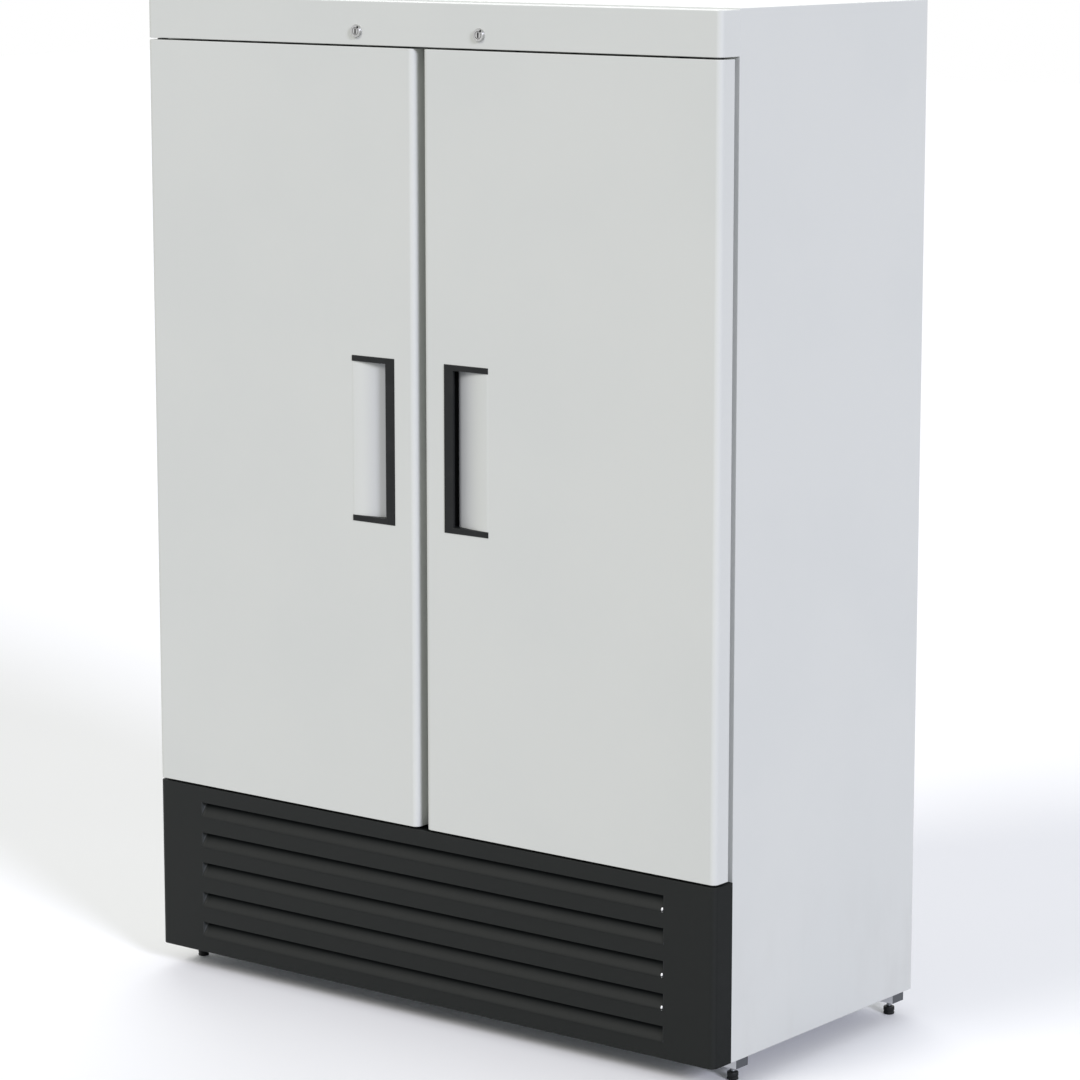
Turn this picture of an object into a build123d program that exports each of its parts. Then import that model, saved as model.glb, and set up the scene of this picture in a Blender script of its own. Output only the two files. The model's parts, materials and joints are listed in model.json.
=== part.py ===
from build123d import *
import os
from math import cos, radians, sin

# Upright two-door refrigerator with solid doors and its machinery in the base.
# X runs to the right as seen from the front, Y to the back and Z up, in millimetres.
# The origin is on the floor, under the centre of the object's box.
# Pieces are placed by x, by depth behind the plane of the door fronts, and by height
# over the underside of the side walls. The right half is modelled and then mirrored.

# Overall sizes
body_width = 1400.0
body_depth = 672.0
fascia_top = 1941.0
roof_rise = 2.5
foot_height = 45.0
corner_radius = 12.0
fold_radius = 1.5

# Front, from the base up
base_height = 346.5
lower_gap = 4.3
upper_gap = 3.6
fascia_height = 83.0
centre_gap = 22.0
door_thickness = 41.0
seal_space = 15.5

# Walls and sheets
wall = 45.0
roof_thickness = 60.0
floor_thickness = 50.0
back_thickness = 45.0
frame_depth = 44.0
cooler_height = 142.0
panel_sheet = 1.2
door_sheet = 1.0
liner_sheet = 1.0
overrun = 5.0
fit_clearance = 0.1
running_clearance = 0.05

# Bars without a turning face have flat sides: bolt heads and nuts six, others as many as here
head_sides = 6
stem_sides = 12
large_sides = 32

# Door seal
gasket_width = 20.0
gasket_inset = 8.0
seal_margin = 2.0
soft_clearance = 0.3

# Locks stand out furthest at the front, so they set where the door plane lies
lock_nose = 5.0

half_width = body_width / 2
inner_half = half_width - wall
half_gap = centre_gap / 2
front_y = (lock_nose - body_depth) / 2
front_depth = door_thickness + seal_space
back_inner = body_depth - back_thickness
fascia_bottom = fascia_top - fascia_height
door_top = fascia_bottom - upper_gap
door_bottom = base_height + lower_gap
roof_top = fascia_top + roof_rise
roof_under = roof_top - roof_thickness
ceiling = roof_under - liner_sheet
sill_height = door_bottom + gasket_inset + gasket_width + seal_margin
floor_top = sill_height - liner_sheet
floor_under = floor_top - floor_thickness
header_bottom = door_top - gasket_inset - gasket_width - seal_margin
mullion_half = half_gap + gasket_inset + gasket_width + seal_margin
hinge_side_inset = wall - seal_margin - gasket_width
frame_back = front_depth + frame_depth
liner_half = inner_half - liner_sheet
liner_back = back_inner - liner_sheet
cooler_bottom = ceiling - cooler_height
room_height = cooler_bottom - sill_height

nodes = {}


def y_at(depth):
    return front_y + depth


def z_at(height):
    return foot_height + height


def block(x0, x1, d0, d1, h0, h1):
    # Box between two x, two depths and two heights.
    middle = Pos((x0 + x1) / 2, y_at((d0 + d1) / 2), z_at((h0 + h1) / 2))
    return middle * Box(x1 - x0, d1 - d0, h1 - h0)


def bar(radius, length, sides):
    # Bar about the local Z axis: round, or with flat sides where no round face is needed.
    if sides:
        return extrude(RegularPolygon(radius, sides), amount=length / 2, both=True)
    return Cylinder(radius, length)


def post(x, depth, h0, h1, radius, sides=0):
    # Upright bar.
    return Pos(x, y_at(depth), z_at((h0 + h1) / 2)) * bar(radius, h1 - h0, sides)


def spindle(x, height, d0, d1, radius, sides=0):
    # Bar that lies along the depth.
    lie_back = Pos(x, y_at((d0 + d1) / 2), z_at(height)) * Rot(90, 0, 0)
    return lie_back * bar(radius, d1 - d0, sides)


def rail(x0, x1, depth, height, radius, sides=0):
    # Bar that lies along the width.
    lie_across = Pos((x0 + x1) / 2, y_at(depth), z_at(height)) * Rot(0, 90, 0)
    return lie_across * bar(radius, x1 - x0, sides)


def rounded_front(x0, x1, d0, d1, h0, h1, radius):
    # Upright prism with its two front edges rounded.
    middle = Pos((x0 + x1) / 2, y_at((d0 + d1) / 2), z_at(h0))
    outline = middle * Rectangle(x1 - x0, d1 - d0)
    front_corners = outline.vertices().sort_by(Axis.Y)[:2]
    return extrude(fillet(front_corners, radius), amount=h1 - h0)


def front_pan(x0, x1, depth, h0, h1, thickness):
    # Folded sheet pan, open at the back, with rounded front edges.
    outer = rounded_front(x0, x1, 0, depth, h0, h1, corner_radius)
    inner = rounded_front(
        x0 + thickness, x1 - thickness, thickness, depth + overrun,
        h0 + thickness, h1 - thickness, corner_radius - thickness,
    )
    return outer - inner


def side_face(points):
    # Flat outline of straight edges in the YZ plane, from depths and heights.
    corners = [(0, y_at(depth), z_at(height)) for depth, height in points]
    return make_face(Polyline(*corners, close=True))


def plan_prism(points, h0, h1):
    # Upright prism over an outline of straight edges, from x and depths.
    corners = [(x, y_at(depth), z_at(h0)) for x, depth in points]
    face = make_face(Polyline(*corners, close=True))
    return extrude(face, amount=h1 - h0, dir=(0, 0, 1))


def mirrored(shape):
    return mirror(shape, about=Plane.YZ)


def both(shape):
    # The piece and its mirror image, as separate solids of one node.
    return Compound(children=[*shape.solids(), *mirrored(shape).solids()])


def keep(name, shape):
    nodes[name] = shape


# Levelling feet. The stems screw into nuts on brackets under the side walls.
foot_side_inset = 24.0
foot_front_gap = 39.5
foot_back_gap = 42.0
foot_knob_radius = 11.0
foot_knob_height = 22.0
foot_knob_chamfer = 1.5
foot_knob_sides = 12
stem_radius = 5.0
stem_rise = 20.0
stem_hole_depth = 25.0
stem_hole_play = 0.5
bracket_length = 38.5
bracket_width = 38.0
bracket_height = 16.0
bracket_sheet = 2.0
bracket_front_reach = 9.0
bracket_side_reach = 14.0
nut_radius = 9.0
nut_height = 8.0

foot_x = half_width - foot_side_inset
foot_depths = {"front": front_depth + foot_front_gap, "rear": body_depth - foot_back_gap}


def foot_bracket(depth):
    right = foot_x + bracket_side_reach
    left = right - bracket_width
    front = depth - bracket_front_reach
    back = front + bracket_length
    plate = block(left, right, front, back, -bracket_sheet, 0)
    side = block(right - bracket_sheet, right, front, back, -bracket_height, 0)
    face = block(left, right, front, front + bracket_sheet, -bracket_height, 0)
    nut_base = Pos(foot_x, y_at(depth), z_at(-bracket_sheet))
    nut = extrude(nut_base * RegularPolygon(nut_radius, 6), amount=-nut_height)
    hole = post(foot_x, depth, -bracket_height, overrun, stem_radius + running_clearance, stem_sides)
    return plate + side + face + nut - hole


def foot(depth):
    knob_base = Pos(foot_x, y_at(depth), 0)
    knob = extrude(knob_base * RegularPolygon(foot_knob_radius, foot_knob_sides), amount=foot_knob_height)
    rims = knob.faces().sort_by(Axis.Z)[0].edges() + knob.faces().sort_by(Axis.Z)[-1].edges()
    knob = chamfer(rims, foot_knob_chamfer)
    return knob + post(foot_x, depth, foot_knob_height - foot_height, stem_rise, stem_radius, stem_sides)


def make_feet():
    brackets = [foot_bracket(depth) for depth in foot_depths.values()]
    keep("foot_brackets", Compound(children=[both(bracket) for bracket in brackets]))
    for place, depth in foot_depths.items():
        right_foot = foot(depth)
        keep("foot_" + place + "_right", right_foot)
        keep("foot_" + place + "_left", mirrored(right_foot))


# Insulated cabinet: foam-filled panels round an inner liner
cove_radius = 14.0
mullion_chamfer = 6.0
drain_x = 62.0
drain_wall_gap = 13.0
drain_radius = 8.0
drain_bore = 5.5

drain_depth = liner_back - drain_wall_gap


def side_wall():
    panel = block(inner_half, half_width, front_depth, body_depth, 0, roof_top)
    panel = fillet(panel.faces().sort_by(Axis.X)[-1].edges(), fold_radius)
    for depth in foot_depths.values():
        panel -= post(foot_x, depth, -overrun, stem_hole_depth, stem_radius + stem_hole_play, stem_sides)
    return panel


def make_cabinet():
    right_wall = side_wall()
    keep("right_wall", right_wall)
    keep("left_wall", mirrored(right_wall))
    keep("back_panel", block(-inner_half, inner_half, back_inner, body_depth, floor_under, roof_top))
    keep("roof_panel", block(-inner_half, inner_half, front_depth, back_inner, roof_under, roof_top))
    drain_hole = post(
        drain_x, drain_depth, floor_under - overrun, sill_height + overrun,
        drain_radius + fit_clearance, stem_sides,
    )
    floor = block(-inner_half, inner_half, front_depth, back_inner, floor_under, floor_top)
    keep("floor_panel", floor - drain_hole)
    shell = block(-inner_half, inner_half, front_depth, back_inner, floor_top, roof_under)
    room = block(-liner_half, liner_half, front_depth - overrun, liner_back, sill_height, ceiling)
    rear_corners = room.edges().filter_by(Axis.Z).sort_by(Axis.Y)[-2:]
    keep("inner_liner", shell - fillet(rear_corners, cove_radius) - drain_hole)
    keep("header_beam", block(-liner_half, liner_half, front_depth, frame_back, header_bottom, ceiling))
    mullion = block(-mullion_half, mullion_half, front_depth, frame_back, sill_height, header_bottom)
    rear_edges = mullion.edges().filter_by(Axis.Z).sort_by(Axis.Y)[-2:]
    keep("centre_mullion", chamfer(rear_edges, mullion_chamfer))


# Hinges: a bracket and pin above each door, and one with a collar below it
hinge_inset = 22.0
pin_radius = 5.0
pin_reach = 20.0
hinge_plate = 5.0
hinge_half_width = 17.0
hinge_front = 9.0
hinge_flange_height = 50.0
hinge_screw_radius = 5.0
hinge_screw_head = 3.0
hinge_screw_heights = (18.0, 38.0)
collar_radius = 8.0
collar_play = 1.5
bush_radius = 8.0
bush_flange_radius = 11.0
bush_flange = 2.0
bush_length = 22.0
bush_seat_spare = 2.0

hinge_x = half_width - hinge_inset


def hinge_bracket(level, upward):
    # Angle bracket whose flat arm starts at the given height and reaches forwards.
    left, right = hinge_x - hinge_half_width, hinge_x + hinge_half_width
    arm_top = level + hinge_plate * upward
    flange_end = level + hinge_flange_height * upward
    arm = block(left, right, hinge_front, front_depth, *sorted((level, arm_top)))
    flange = block(left, right, front_depth - hinge_plate, front_depth, *sorted((level, flange_end)))
    screw_end = front_depth - hinge_plate
    screws = [
        spindle(
            hinge_x, level + height * upward, screw_end - hinge_screw_head, screw_end, hinge_screw_radius,
            head_sides,
        )
        for height in hinge_screw_heights
    ]
    return arm + flange + screws


def make_hinges():
    upper_level = fascia_bottom + panel_sheet
    upper_pin = post(hinge_x, hinge_inset, door_top - pin_reach, upper_level + hinge_plate, pin_radius)
    keep("upper_hinges", both(hinge_bracket(upper_level, 1) + upper_pin))
    lower_level = base_height - panel_sheet
    lower_pin = post(hinge_x, hinge_inset, lower_level - hinge_plate, door_bottom + pin_reach, pin_radius)
    collar = post(
        hinge_x, hinge_inset, lower_level, door_bottom - bush_flange, collar_radius, stem_sides
    )
    keep("lower_hinges", both(hinge_bracket(lower_level, -1) + lower_pin + collar))


def door_bushes():
    seats = [
        post(hinge_x, hinge_inset, door_top - bush_length, door_top, bush_radius, stem_sides)
        + post(hinge_x, hinge_inset, door_top, door_top + bush_flange, bush_flange_radius, stem_sides),
        post(hinge_x, hinge_inset, door_bottom, door_bottom + bush_length, bush_radius, stem_sides)
        + post(
            hinge_x, hinge_inset, door_bottom - bush_flange, door_bottom, bush_flange_radius, stem_sides
        ),
    ]
    bore = post(
        hinge_x, hinge_inset, door_bottom - overrun, door_top + overrun, pin_radius + running_clearance
    )
    return Compound(children=[(seat - bore).solid() for seat in seats])


def bush_seats():
    # The holes in the door's ends that take the bushes.
    depth = bush_length + bush_seat_spare
    radius = bush_radius + fit_clearance
    return [
        post(hinge_x, hinge_inset, door_top - depth, door_top + overrun, radius, stem_sides),
        post(hinge_x, hinge_inset, door_bottom - overrun, door_bottom + depth, radius, stem_sides),
    ]


# Cam locks in the fascia, whose cams drop into slots in the door tops
lock_x = 150.0
lock_over_fascia_edge = 26.0
lock_flange_radius = 12.5
lock_sides = 24
lock_flange = 1.5
lock_nose_radius = 10.2
lock_sleeve_radius = 9.5
lock_sleeve_end = 20.0
lock_nut_radius = 14.0
lock_nut = 4.0
barrel_radius = 6.5
barrel_end = 22.0
keyway_width = 2.2
keyway_length = 10.0
keyway_depth = 4.0
index_radius = 0.9
index_depth = 1.0
index_angle = 20.0
index_inset = 1.5
cam_length = 45.0
cam_width = 14.0
cam_thickness = 2.5
cam_screw_radius = 4.0
cam_screw_head = 3.5
cam_side_play = 3.0
cam_end_play = 2.5
cam_swing_share = 0.9

lock_height = fascia_bottom + lock_over_fascia_edge
cam_back = barrel_end + cam_thickness


def lock_housing():
    body = spindle(lock_x, lock_height, -lock_flange, 0, lock_flange_radius, lock_sides)
    body += spindle(lock_x, lock_height, -lock_nose, -lock_flange, lock_nose_radius, lock_sides)
    body += spindle(lock_x, lock_height, 0, lock_sleeve_end, lock_sleeve_radius, stem_sides)
    nut_plane = Pos(lock_x, y_at(panel_sheet), z_at(lock_height)) * Rot(-90, 0, 0)
    body += extrude(nut_plane * RegularPolygon(lock_nut_radius, 6), amount=lock_nut)
    index_reach = lock_nose_radius - index_inset
    index_x = lock_x + index_reach * sin(radians(index_angle))
    index_height = lock_height + index_reach * cos(radians(index_angle))
    body -= spindle(
        index_x, index_height, -lock_nose - overrun, index_depth - lock_nose, index_radius, head_sides
    )
    bore_radius = barrel_radius + running_clearance
    return body - spindle(lock_x, lock_height, -lock_nose - overrun, lock_sleeve_end + overrun, bore_radius)


def lock_barrel():
    # The plug with its keyway, and the cam, which lies level at rest.
    plug = spindle(lock_x, lock_height, -lock_nose, barrel_end, barrel_radius)
    half_key = keyway_length / 2
    plug -= block(
        lock_x - keyway_width / 2, lock_x + keyway_width / 2, -lock_nose - overrun,
        keyway_depth - lock_nose, lock_height - half_key, lock_height + half_key,
    )
    half_cam = cam_width / 2
    cam = spindle(lock_x, lock_height, barrel_end, cam_back, half_cam, stem_sides)
    cam += block(
        lock_x, lock_x + cam_length - half_cam, barrel_end, cam_back,
        lock_height - half_cam, lock_height + half_cam,
    )
    cam += spindle(
        lock_x + cam_length - half_cam, lock_height, barrel_end, cam_back, half_cam, stem_sides
    )
    screw_end = cam_back + cam_screw_head
    screw = spindle(lock_x, lock_height, cam_back, screw_end, cam_screw_radius, head_sides)
    return plug + cam + screw


def cam_slot(h0, h1):
    # The room that the cam needs while it swings down from level.
    swing = cam_length * cam_swing_share
    return block(
        lock_x - cam_width / 2 - cam_side_play, lock_x + swing, barrel_end - cam_side_play,
        cam_back + cam_side_play, h0, h1,
    )


def make_locks():
    keep("lock_housings", both(lock_housing()))
    right_barrel = lock_barrel()
    keep("lock_barrel_right", right_barrel)
    keep("lock_barrel_left", mirrored(right_barrel))


# Fascia over the doors
def make_fascia():
    pan = front_pan(-half_width, half_width, front_depth, fascia_bottom, fascia_top, panel_sheet)
    sleeve_hole = spindle(
        lock_x, lock_height, -overrun, overrun, lock_sleeve_radius + fit_clearance, stem_sides
    )
    slot = cam_slot(fascia_bottom - overrun, fascia_bottom + overrun)
    pin_hole = post(
        hinge_x, hinge_inset, fascia_bottom - overrun, fascia_bottom + panel_sheet,
        pin_radius + collar_play, stem_sides,
    )
    cuts = [sleeve_hole, slot, pin_hole]
    keep("top_fascia", pan - cuts - [mirrored(cut) for cut in cuts])


# Louvred base panel: pressed scoops, each open at its top behind the land over it
louvre_count = 5
louvre_pitch_share = 0.1815
louvre_drop_share = 0.5
top_land_share = 0.507
louvre_depth = 17.0
louvre_side_land = 115.0
ramp_depth = 5.5
ramp_rise = 4.0
blade_mid_depth = 9.0
blade_mid_share = 0.54

louvre_pitch = base_height * louvre_pitch_share
louvre_drop = louvre_pitch * louvre_drop_share
louvre_length = body_width - 2 * louvre_side_land


def scoop_face(shift, top, bottom):
    # Area between the front plane and the louvre blade, moved back by shift: a short ramp, then a curve.
    front_low = (0, y_at(0), z_at(bottom - shift))
    front_top = (0, y_at(0), z_at(top))
    back_top = (0, y_at(louvre_depth + shift), z_at(top))
    middle = (0, y_at(blade_mid_depth + shift), z_at(bottom + louvre_drop * blade_mid_share))
    ramp_end = (0, y_at(ramp_depth + shift), z_at(bottom + ramp_rise - shift))
    edges = [
        Line(front_low, front_top), Line(front_top, back_top), ThreePointArc(back_top, middle, ramp_end),
        Line(ramp_end, front_low),
    ]
    return make_face(edges)


def louvre(top):
    bottom = top - louvre_drop
    half_length = louvre_length / 2
    outer = extrude(scoop_face(panel_sheet, top, bottom), amount=half_length + panel_sheet, dir=(1, 0, 0))
    room = extrude(scoop_face(0, top, bottom), amount=half_length, dir=(1, 0, 0))
    window = block(0, half_length, -overrun, panel_sheet, bottom, top)
    half_blade = outer - room
    return window + mirrored(window), half_blade + mirrored(half_blade)


def make_louvre_panel():
    panel = front_pan(-half_width, half_width, front_depth, 0, base_height, panel_sheet)
    for row in range(louvre_count):
        window, blade = louvre(base_height - louvre_pitch * (top_land_share + row))
        panel = panel - window + blade
    collar_hole = post(
        hinge_x, hinge_inset, base_height - panel_sheet, base_height + overrun,
        collar_radius + collar_play, stem_sides,
    )
    keep("louvre_panel", panel - collar_hole - mirrored(collar_hole))


# Handle: a black grip let into the door, beside a scoop pressed in the door's front
handle_from_centre = 61.7
handle_width = 107.0
handle_height = 323.5
grip_width = 22.5
grip_thickness = 4.0
arm_height = 11.5
handle_proud = 1.5
handle_chamfer = 0.8
scoop_depth = 16.5
scoop_mid_share = 0.42
finger_depth = 21.0
tub_wall = 2.5
arm_end_depth = 2.5

handle_low = (door_bottom + door_top - handle_height) / 2
handle_high = handle_low + handle_height
handle_end = handle_from_centre + handle_width
grip_edge = handle_from_centre + grip_width
tub_back = finger_depth + tub_wall


def handle():
    low, high = handle_low, handle_high
    start = handle_from_centre
    front = -handle_proud
    body = block(start, grip_edge, front, grip_thickness, low, high)
    body += block(start, start + tub_wall, grip_thickness, tub_back, low, high)
    body += block(start, grip_edge + tub_wall, finger_depth, tub_back, low, high)
    body += block(grip_edge, grip_edge + tub_wall, scoop_depth + door_sheet, tub_back, low, high)
    arm_line = [(start, front), (handle_end, front), (handle_end, arm_end_depth)]
    arm_line += [(grip_edge + tub_wall, tub_back), (start, tub_back)]
    body += plan_prism(arm_line, low, low + arm_height)
    body += plan_prism(arm_line, high - arm_height, high)
    return chamfer(body.faces().sort_by(Axis.Y)[0].edges(), handle_chamfer)


def handle_cut():
    # The room in the door's filling for the grip, its tub and the scoop.
    start = handle_from_centre
    line = [(start, -overrun), (handle_end, -overrun), (handle_end, arm_end_depth)]
    line += [(grip_edge + tub_wall, tub_back), (start, tub_back)]
    return plan_prism(line, handle_low, handle_high)


def scoop_room(shift):
    # The hollow in front of the scoop's curved floor, moved back by shift.
    outer = (handle_end, y_at(shift), 0)
    middle = ((handle_end + grip_edge) / 2, y_at(scoop_depth * scoop_mid_share + shift), 0)
    inner = (grip_edge, y_at(scoop_depth + shift), 0)
    front_inner, front_outer = (grip_edge, y_at(0), 0), (handle_end, y_at(0), 0)
    edges = [ThreePointArc(outer, middle, inner), Line(inner, front_inner), Line(front_inner, front_outer)]
    if shift > 0:
        edges.append(Line(front_outer, outer))
    low, high = handle_low + arm_height, handle_high - arm_height
    return extrude(Pos(0, 0, z_at(low)) * make_face(edges), amount=high - low, dir=(0, 0, 1))


def scoop_floor():
    # Curved sheet from the door's front down to the edge of the tub.
    return scoop_room(door_sheet) - scoop_room(0)


def scoop_backing():
    # Filling right behind the curved sheet, between the two arms of the handle.
    tub_edge = grip_edge + tub_wall
    line = [(tub_edge, 0), (handle_end, 0), (handle_end, arm_end_depth), (tub_edge, tub_back)]
    return plan_prism(line, handle_low + arm_height, handle_high - arm_height) - scoop_room(door_sheet)


# Doors: a steel skin, a filling with a moulded inner panel, a seal, a handle and bushes
plug_height = 10.0
plug_margin = 4.0
plug_chamfer = 6.0
plug_frame = 55.0
plug_recess = 4.0
plug_corner_radius = 20.0
gasket_foot_share = 0.27
gasket_bellows_share = 0.73
gasket_foot_step = 6.0
gasket_bellows_step = 2.0


def door_skin():
    pan = front_pan(half_gap, half_width, door_thickness, door_bottom, door_top, door_sheet)
    window = block(
        handle_from_centre, handle_end, -overrun, door_sheet + overrun, handle_low, handle_high
    )
    slot = cam_slot(door_top - overrun, door_top + overrun)
    return pan - window - slot - bush_seats() + scoop_floor()


def inner_edges(inset):
    # The seal's rectangle on the back of the door, drawn in by inset.
    left = half_gap + gasket_inset + inset
    right = half_width - hinge_side_inset - inset
    return left, right, door_bottom + gasket_inset + inset, door_top - gasket_inset - inset


def rounded_slab(inset, radius, d0, d1):
    left, right, low, high = inner_edges(inset)
    face_plane = Pos((left + right) / 2, y_at(d0), z_at((low + high) / 2)) * Rot(-90, 0, 0)
    return extrude(face_plane * RectangleRounded(right - left, high - low, radius), amount=d1 - d0)


def door_liner():
    filling = rounded_front(
        half_gap + door_sheet, half_width - door_sheet, door_sheet, door_thickness,
        door_bottom + door_sheet, door_top - door_sheet, corner_radius - door_sheet,
    )
    plug_back = door_thickness + plug_height
    plug = rounded_slab(gasket_width + plug_margin, plug_corner_radius, door_thickness, plug_back)
    plug = chamfer(plug.faces().sort_by(Axis.Y)[-1].edges(), plug_chamfer)
    recess_inset = gasket_width + plug_margin + plug_frame
    recess = rounded_slab(recess_inset, plug_corner_radius, plug_back - plug_recess, plug_back + overrun)
    cam_depth = cam_length - lock_over_fascia_edge - upper_gap + cam_end_play
    slot = cam_slot(door_top - cam_depth, door_top + overrun)
    return filling + plug - recess - handle_cut() + scoop_backing() - slot - bush_seats()


def gasket():
    # Foot, bellows and magnet head of the seal, as rings one behind the other.
    reach = seal_space - soft_clearance
    foot_end = door_thickness + reach * gasket_foot_share
    bellows_end = door_thickness + reach * gasket_bellows_share
    steps = [
        (gasket_foot_step, door_thickness, foot_end),
        (gasket_bellows_step, foot_end, bellows_end),
        (0, bellows_end, door_thickness + reach),
    ]
    rings = []
    for step, d0, d1 in steps:
        left, right, low, high = inner_edges(step)
        inner_left, inner_right, inner_low, inner_high = inner_edges(gasket_width - step)
        opening = block(inner_left, inner_right, d0 - overrun, d1 + overrun, inner_low, inner_high)
        rings.append(block(left, right, d0, d1, low, high) - opening)
    return rings[0] + rings[1] + rings[2]


def make_doors():
    pieces = {
        "skin": door_skin(), "liner": door_liner(), "gasket": gasket(),
        "handle": handle(), "bushes": door_bushes(),
    }
    for name, piece in pieces.items():
        keep("right_door_" + name, piece)
        keep("left_door_" + name, mirrored(piece))


# Shelving: wire shelves on clips in slotted strips
shelf_count = 4
first_shelf_share = 0.1906
shelf_pitch_share = 0.1927
shelf_thickness = 5.0
shelf_front_gap = 14.5
shelf_back_gap = 22.0
shelf_inner = 14.0
shelf_wall_gap = 13.0
rim_width = 6.0
wire_width = 3.0
wire_pitch = 62.0
cross_bar_height = 5.0
cross_bar_shares = (0.5,)
strip_width = 22.0
centre_strip_width = 60.0
strip_thickness = 8.0
strip_end_gap = 40.0
strip_front_gap = 49.5
strip_back_gap = 66.0
slot_width = 5.0
slot_height = 14.0
slot_depth = 5.0
slot_pitch = 131.0
clip_thickness = 4.0
clip_reach = 24.0
clip_width = 16.0
clip_drop = 16.0

shelf_outer = liner_half - shelf_wall_gap
shelf_front = frame_back + shelf_front_gap
shelf_back = liner_back - shelf_back_gap
shelf_levels = [
    sill_height + room_height * (first_shelf_share + shelf_pitch_share * tier) for tier in range(shelf_count)
]
strip_low = sill_height + strip_end_gap
strip_high = cooler_bottom - strip_end_gap
strip_depths = (frame_back + strip_front_gap, liner_back - strip_back_gap)


def shelf(level):
    # A rim and front-to-back wires on cross bars, all welded.
    top, under = level, level - shelf_thickness
    mesh = block(shelf_inner, shelf_outer, shelf_front, shelf_back, under, top)
    room = shelf_outer - shelf_inner - 2 * rim_width
    gaps = int(room // wire_pitch)
    pitch = (room + wire_width) / gaps
    for gap in range(gaps):
        start = shelf_inner + rim_width + gap * pitch
        mesh -= block(
            start, start + pitch - wire_width, shelf_front + rim_width, shelf_back - rim_width,
            under - overrun, top + overrun,
        )
    for share in cross_bar_shares:
        middle = shelf_front + (shelf_back - shelf_front) * share
        mesh += block(
            shelf_inner, shelf_outer, middle - wire_width / 2, middle + wire_width / 2,
            under - cross_bar_height, under,
        )
    return mesh


def strip_slots(cuts_at, low, high):
    # One slot at each level of the strip, from a function that makes the cut.
    levels = int((high - low) // slot_pitch)
    return [cuts_at(low + slot_pitch * (step + 1)) for step in range(levels)]


def side_strip(depth):
    half = strip_width / 2
    strip = block(
        liner_half - strip_thickness, liner_half, depth - half, depth + half, strip_low, strip_high
    )

    def slot_at(level):
        face = liner_half - strip_thickness
        return block(
            face - overrun, face + slot_depth, depth - slot_width / 2, depth + slot_width / 2,
            level - slot_height, level,
        )

    return strip - strip_slots(slot_at, strip_low, strip_high)


def centre_strip(face, inward):
    # Strip on the mullion's back or on the back wall; inward is 1 towards the back.
    half = centre_strip_width / 2
    front_face = face + strip_thickness * inward
    strip = block(-half, half, *sorted((face, front_face)), strip_low, strip_high)

    def slot_at(level):
        cut_end = front_face - slot_depth * inward
        cut_start = front_face + overrun * inward
        return block(
            -slot_width / 2, slot_width / 2, *sorted((cut_end, cut_start)), level - slot_height, level
        )

    return strip - strip_slots(slot_at, strip_low, strip_high)


def side_clip(depth, level):
    face = liner_half - strip_thickness
    top = level - shelf_thickness
    half = clip_width / 2
    ledge = block(face - clip_reach, face, depth - half, depth + half, top - clip_thickness, top)
    back = block(face - clip_thickness, face, depth - half, depth + half, top - clip_drop, top)
    return ledge + back


def centre_clip(face, inward, level):
    top = level - shelf_thickness
    half = centre_strip_width / 2
    end = face + clip_reach * inward
    ledge = block(-half, half, *sorted((face, end)), top - clip_thickness, top)
    root = face + clip_thickness * inward
    return ledge + block(-half, half, *sorted((face, root)), top - clip_drop, top)


def make_shelving():
    rear_strip_face = liner_back - strip_thickness
    front_strip_face = frame_back + strip_thickness
    strips = [both(side_strip(depth)) for depth in strip_depths]
    strips += [centre_strip(frame_back, 1), centre_strip(liner_back, -1)]
    keep("shelf_strips", Compound(children=strips))
    clips = []
    for tier, level in enumerate(shelf_levels, start=1):
        right_shelf = shelf(level)
        keep("right_shelf_" + str(tier), right_shelf)
        keep("left_shelf_" + str(tier), mirrored(right_shelf))
        clips += [both(side_clip(depth, level)) for depth in strip_depths]
        clips += [centre_clip(front_strip_face, 1, level), centre_clip(rear_strip_face, -1, level)]
    keep("shelf_clips", Compound(children=clips))


# Cooling unit under the ceiling, with two fans and a drain
cooler_half = 330.0
cooler_length = 296.0
cooler_sheet = 1.5
cooler_coil_side_gap = 24.0
cooler_coil_setback = 110.0
cooler_coil_back_gap = 41.0
cooler_coil_floor_gap = 8.0
cooler_fan_x = 165.0
cooler_fan_radius = 52.0
cooler_fan_play = 4.0
cooler_fan_depth = 18.0
cooler_fan_setback = 8.0
cooler_motor_radius = 20.0
cooler_motor_length = 34.0
cooler_motor_gap = 4.0
cooler_arm = 8.0
spigot_length = 14.0
spigot_radius = 11.0
grille_slots = 6
grille_slot_height = 8.0
grille_slot_margin = 40.0
grille_pitch = 19.0

cooler_back = liner_back - fit_clearance
cooler_front = cooler_back - cooler_length
cooler_coil_front = cooler_front + cooler_coil_setback
cooler_coil_back = cooler_back - cooler_coil_back_gap
cooler_axis = cooler_bottom + cooler_height / 2


def fan(blades, radius, hub_radius, hub_length, chord, pitch_angle, blade_sheet, shaft_radius, shaft_length):
    # Fan about the local Z axis; its shaft reaches towards +Z past the hub.
    rotor = bar(hub_radius, hub_length, stem_sides)
    reach = radius - hub_radius / 2
    for blade in range(blades):
        root = Pos(hub_radius / 2 + reach / 2, 0, 0) * Rot(pitch_angle, 0, 0)
        turn = Rot(0, 0, blade * 360 / blades) * root
        rotor += turn * Box(reach, chord, blade_sheet)
    shaft_start = hub_length / 2
    rotor += Pos(0, 0, shaft_start + shaft_length / 2) * Cylinder(shaft_radius, shaft_length)
    return rotor


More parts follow.
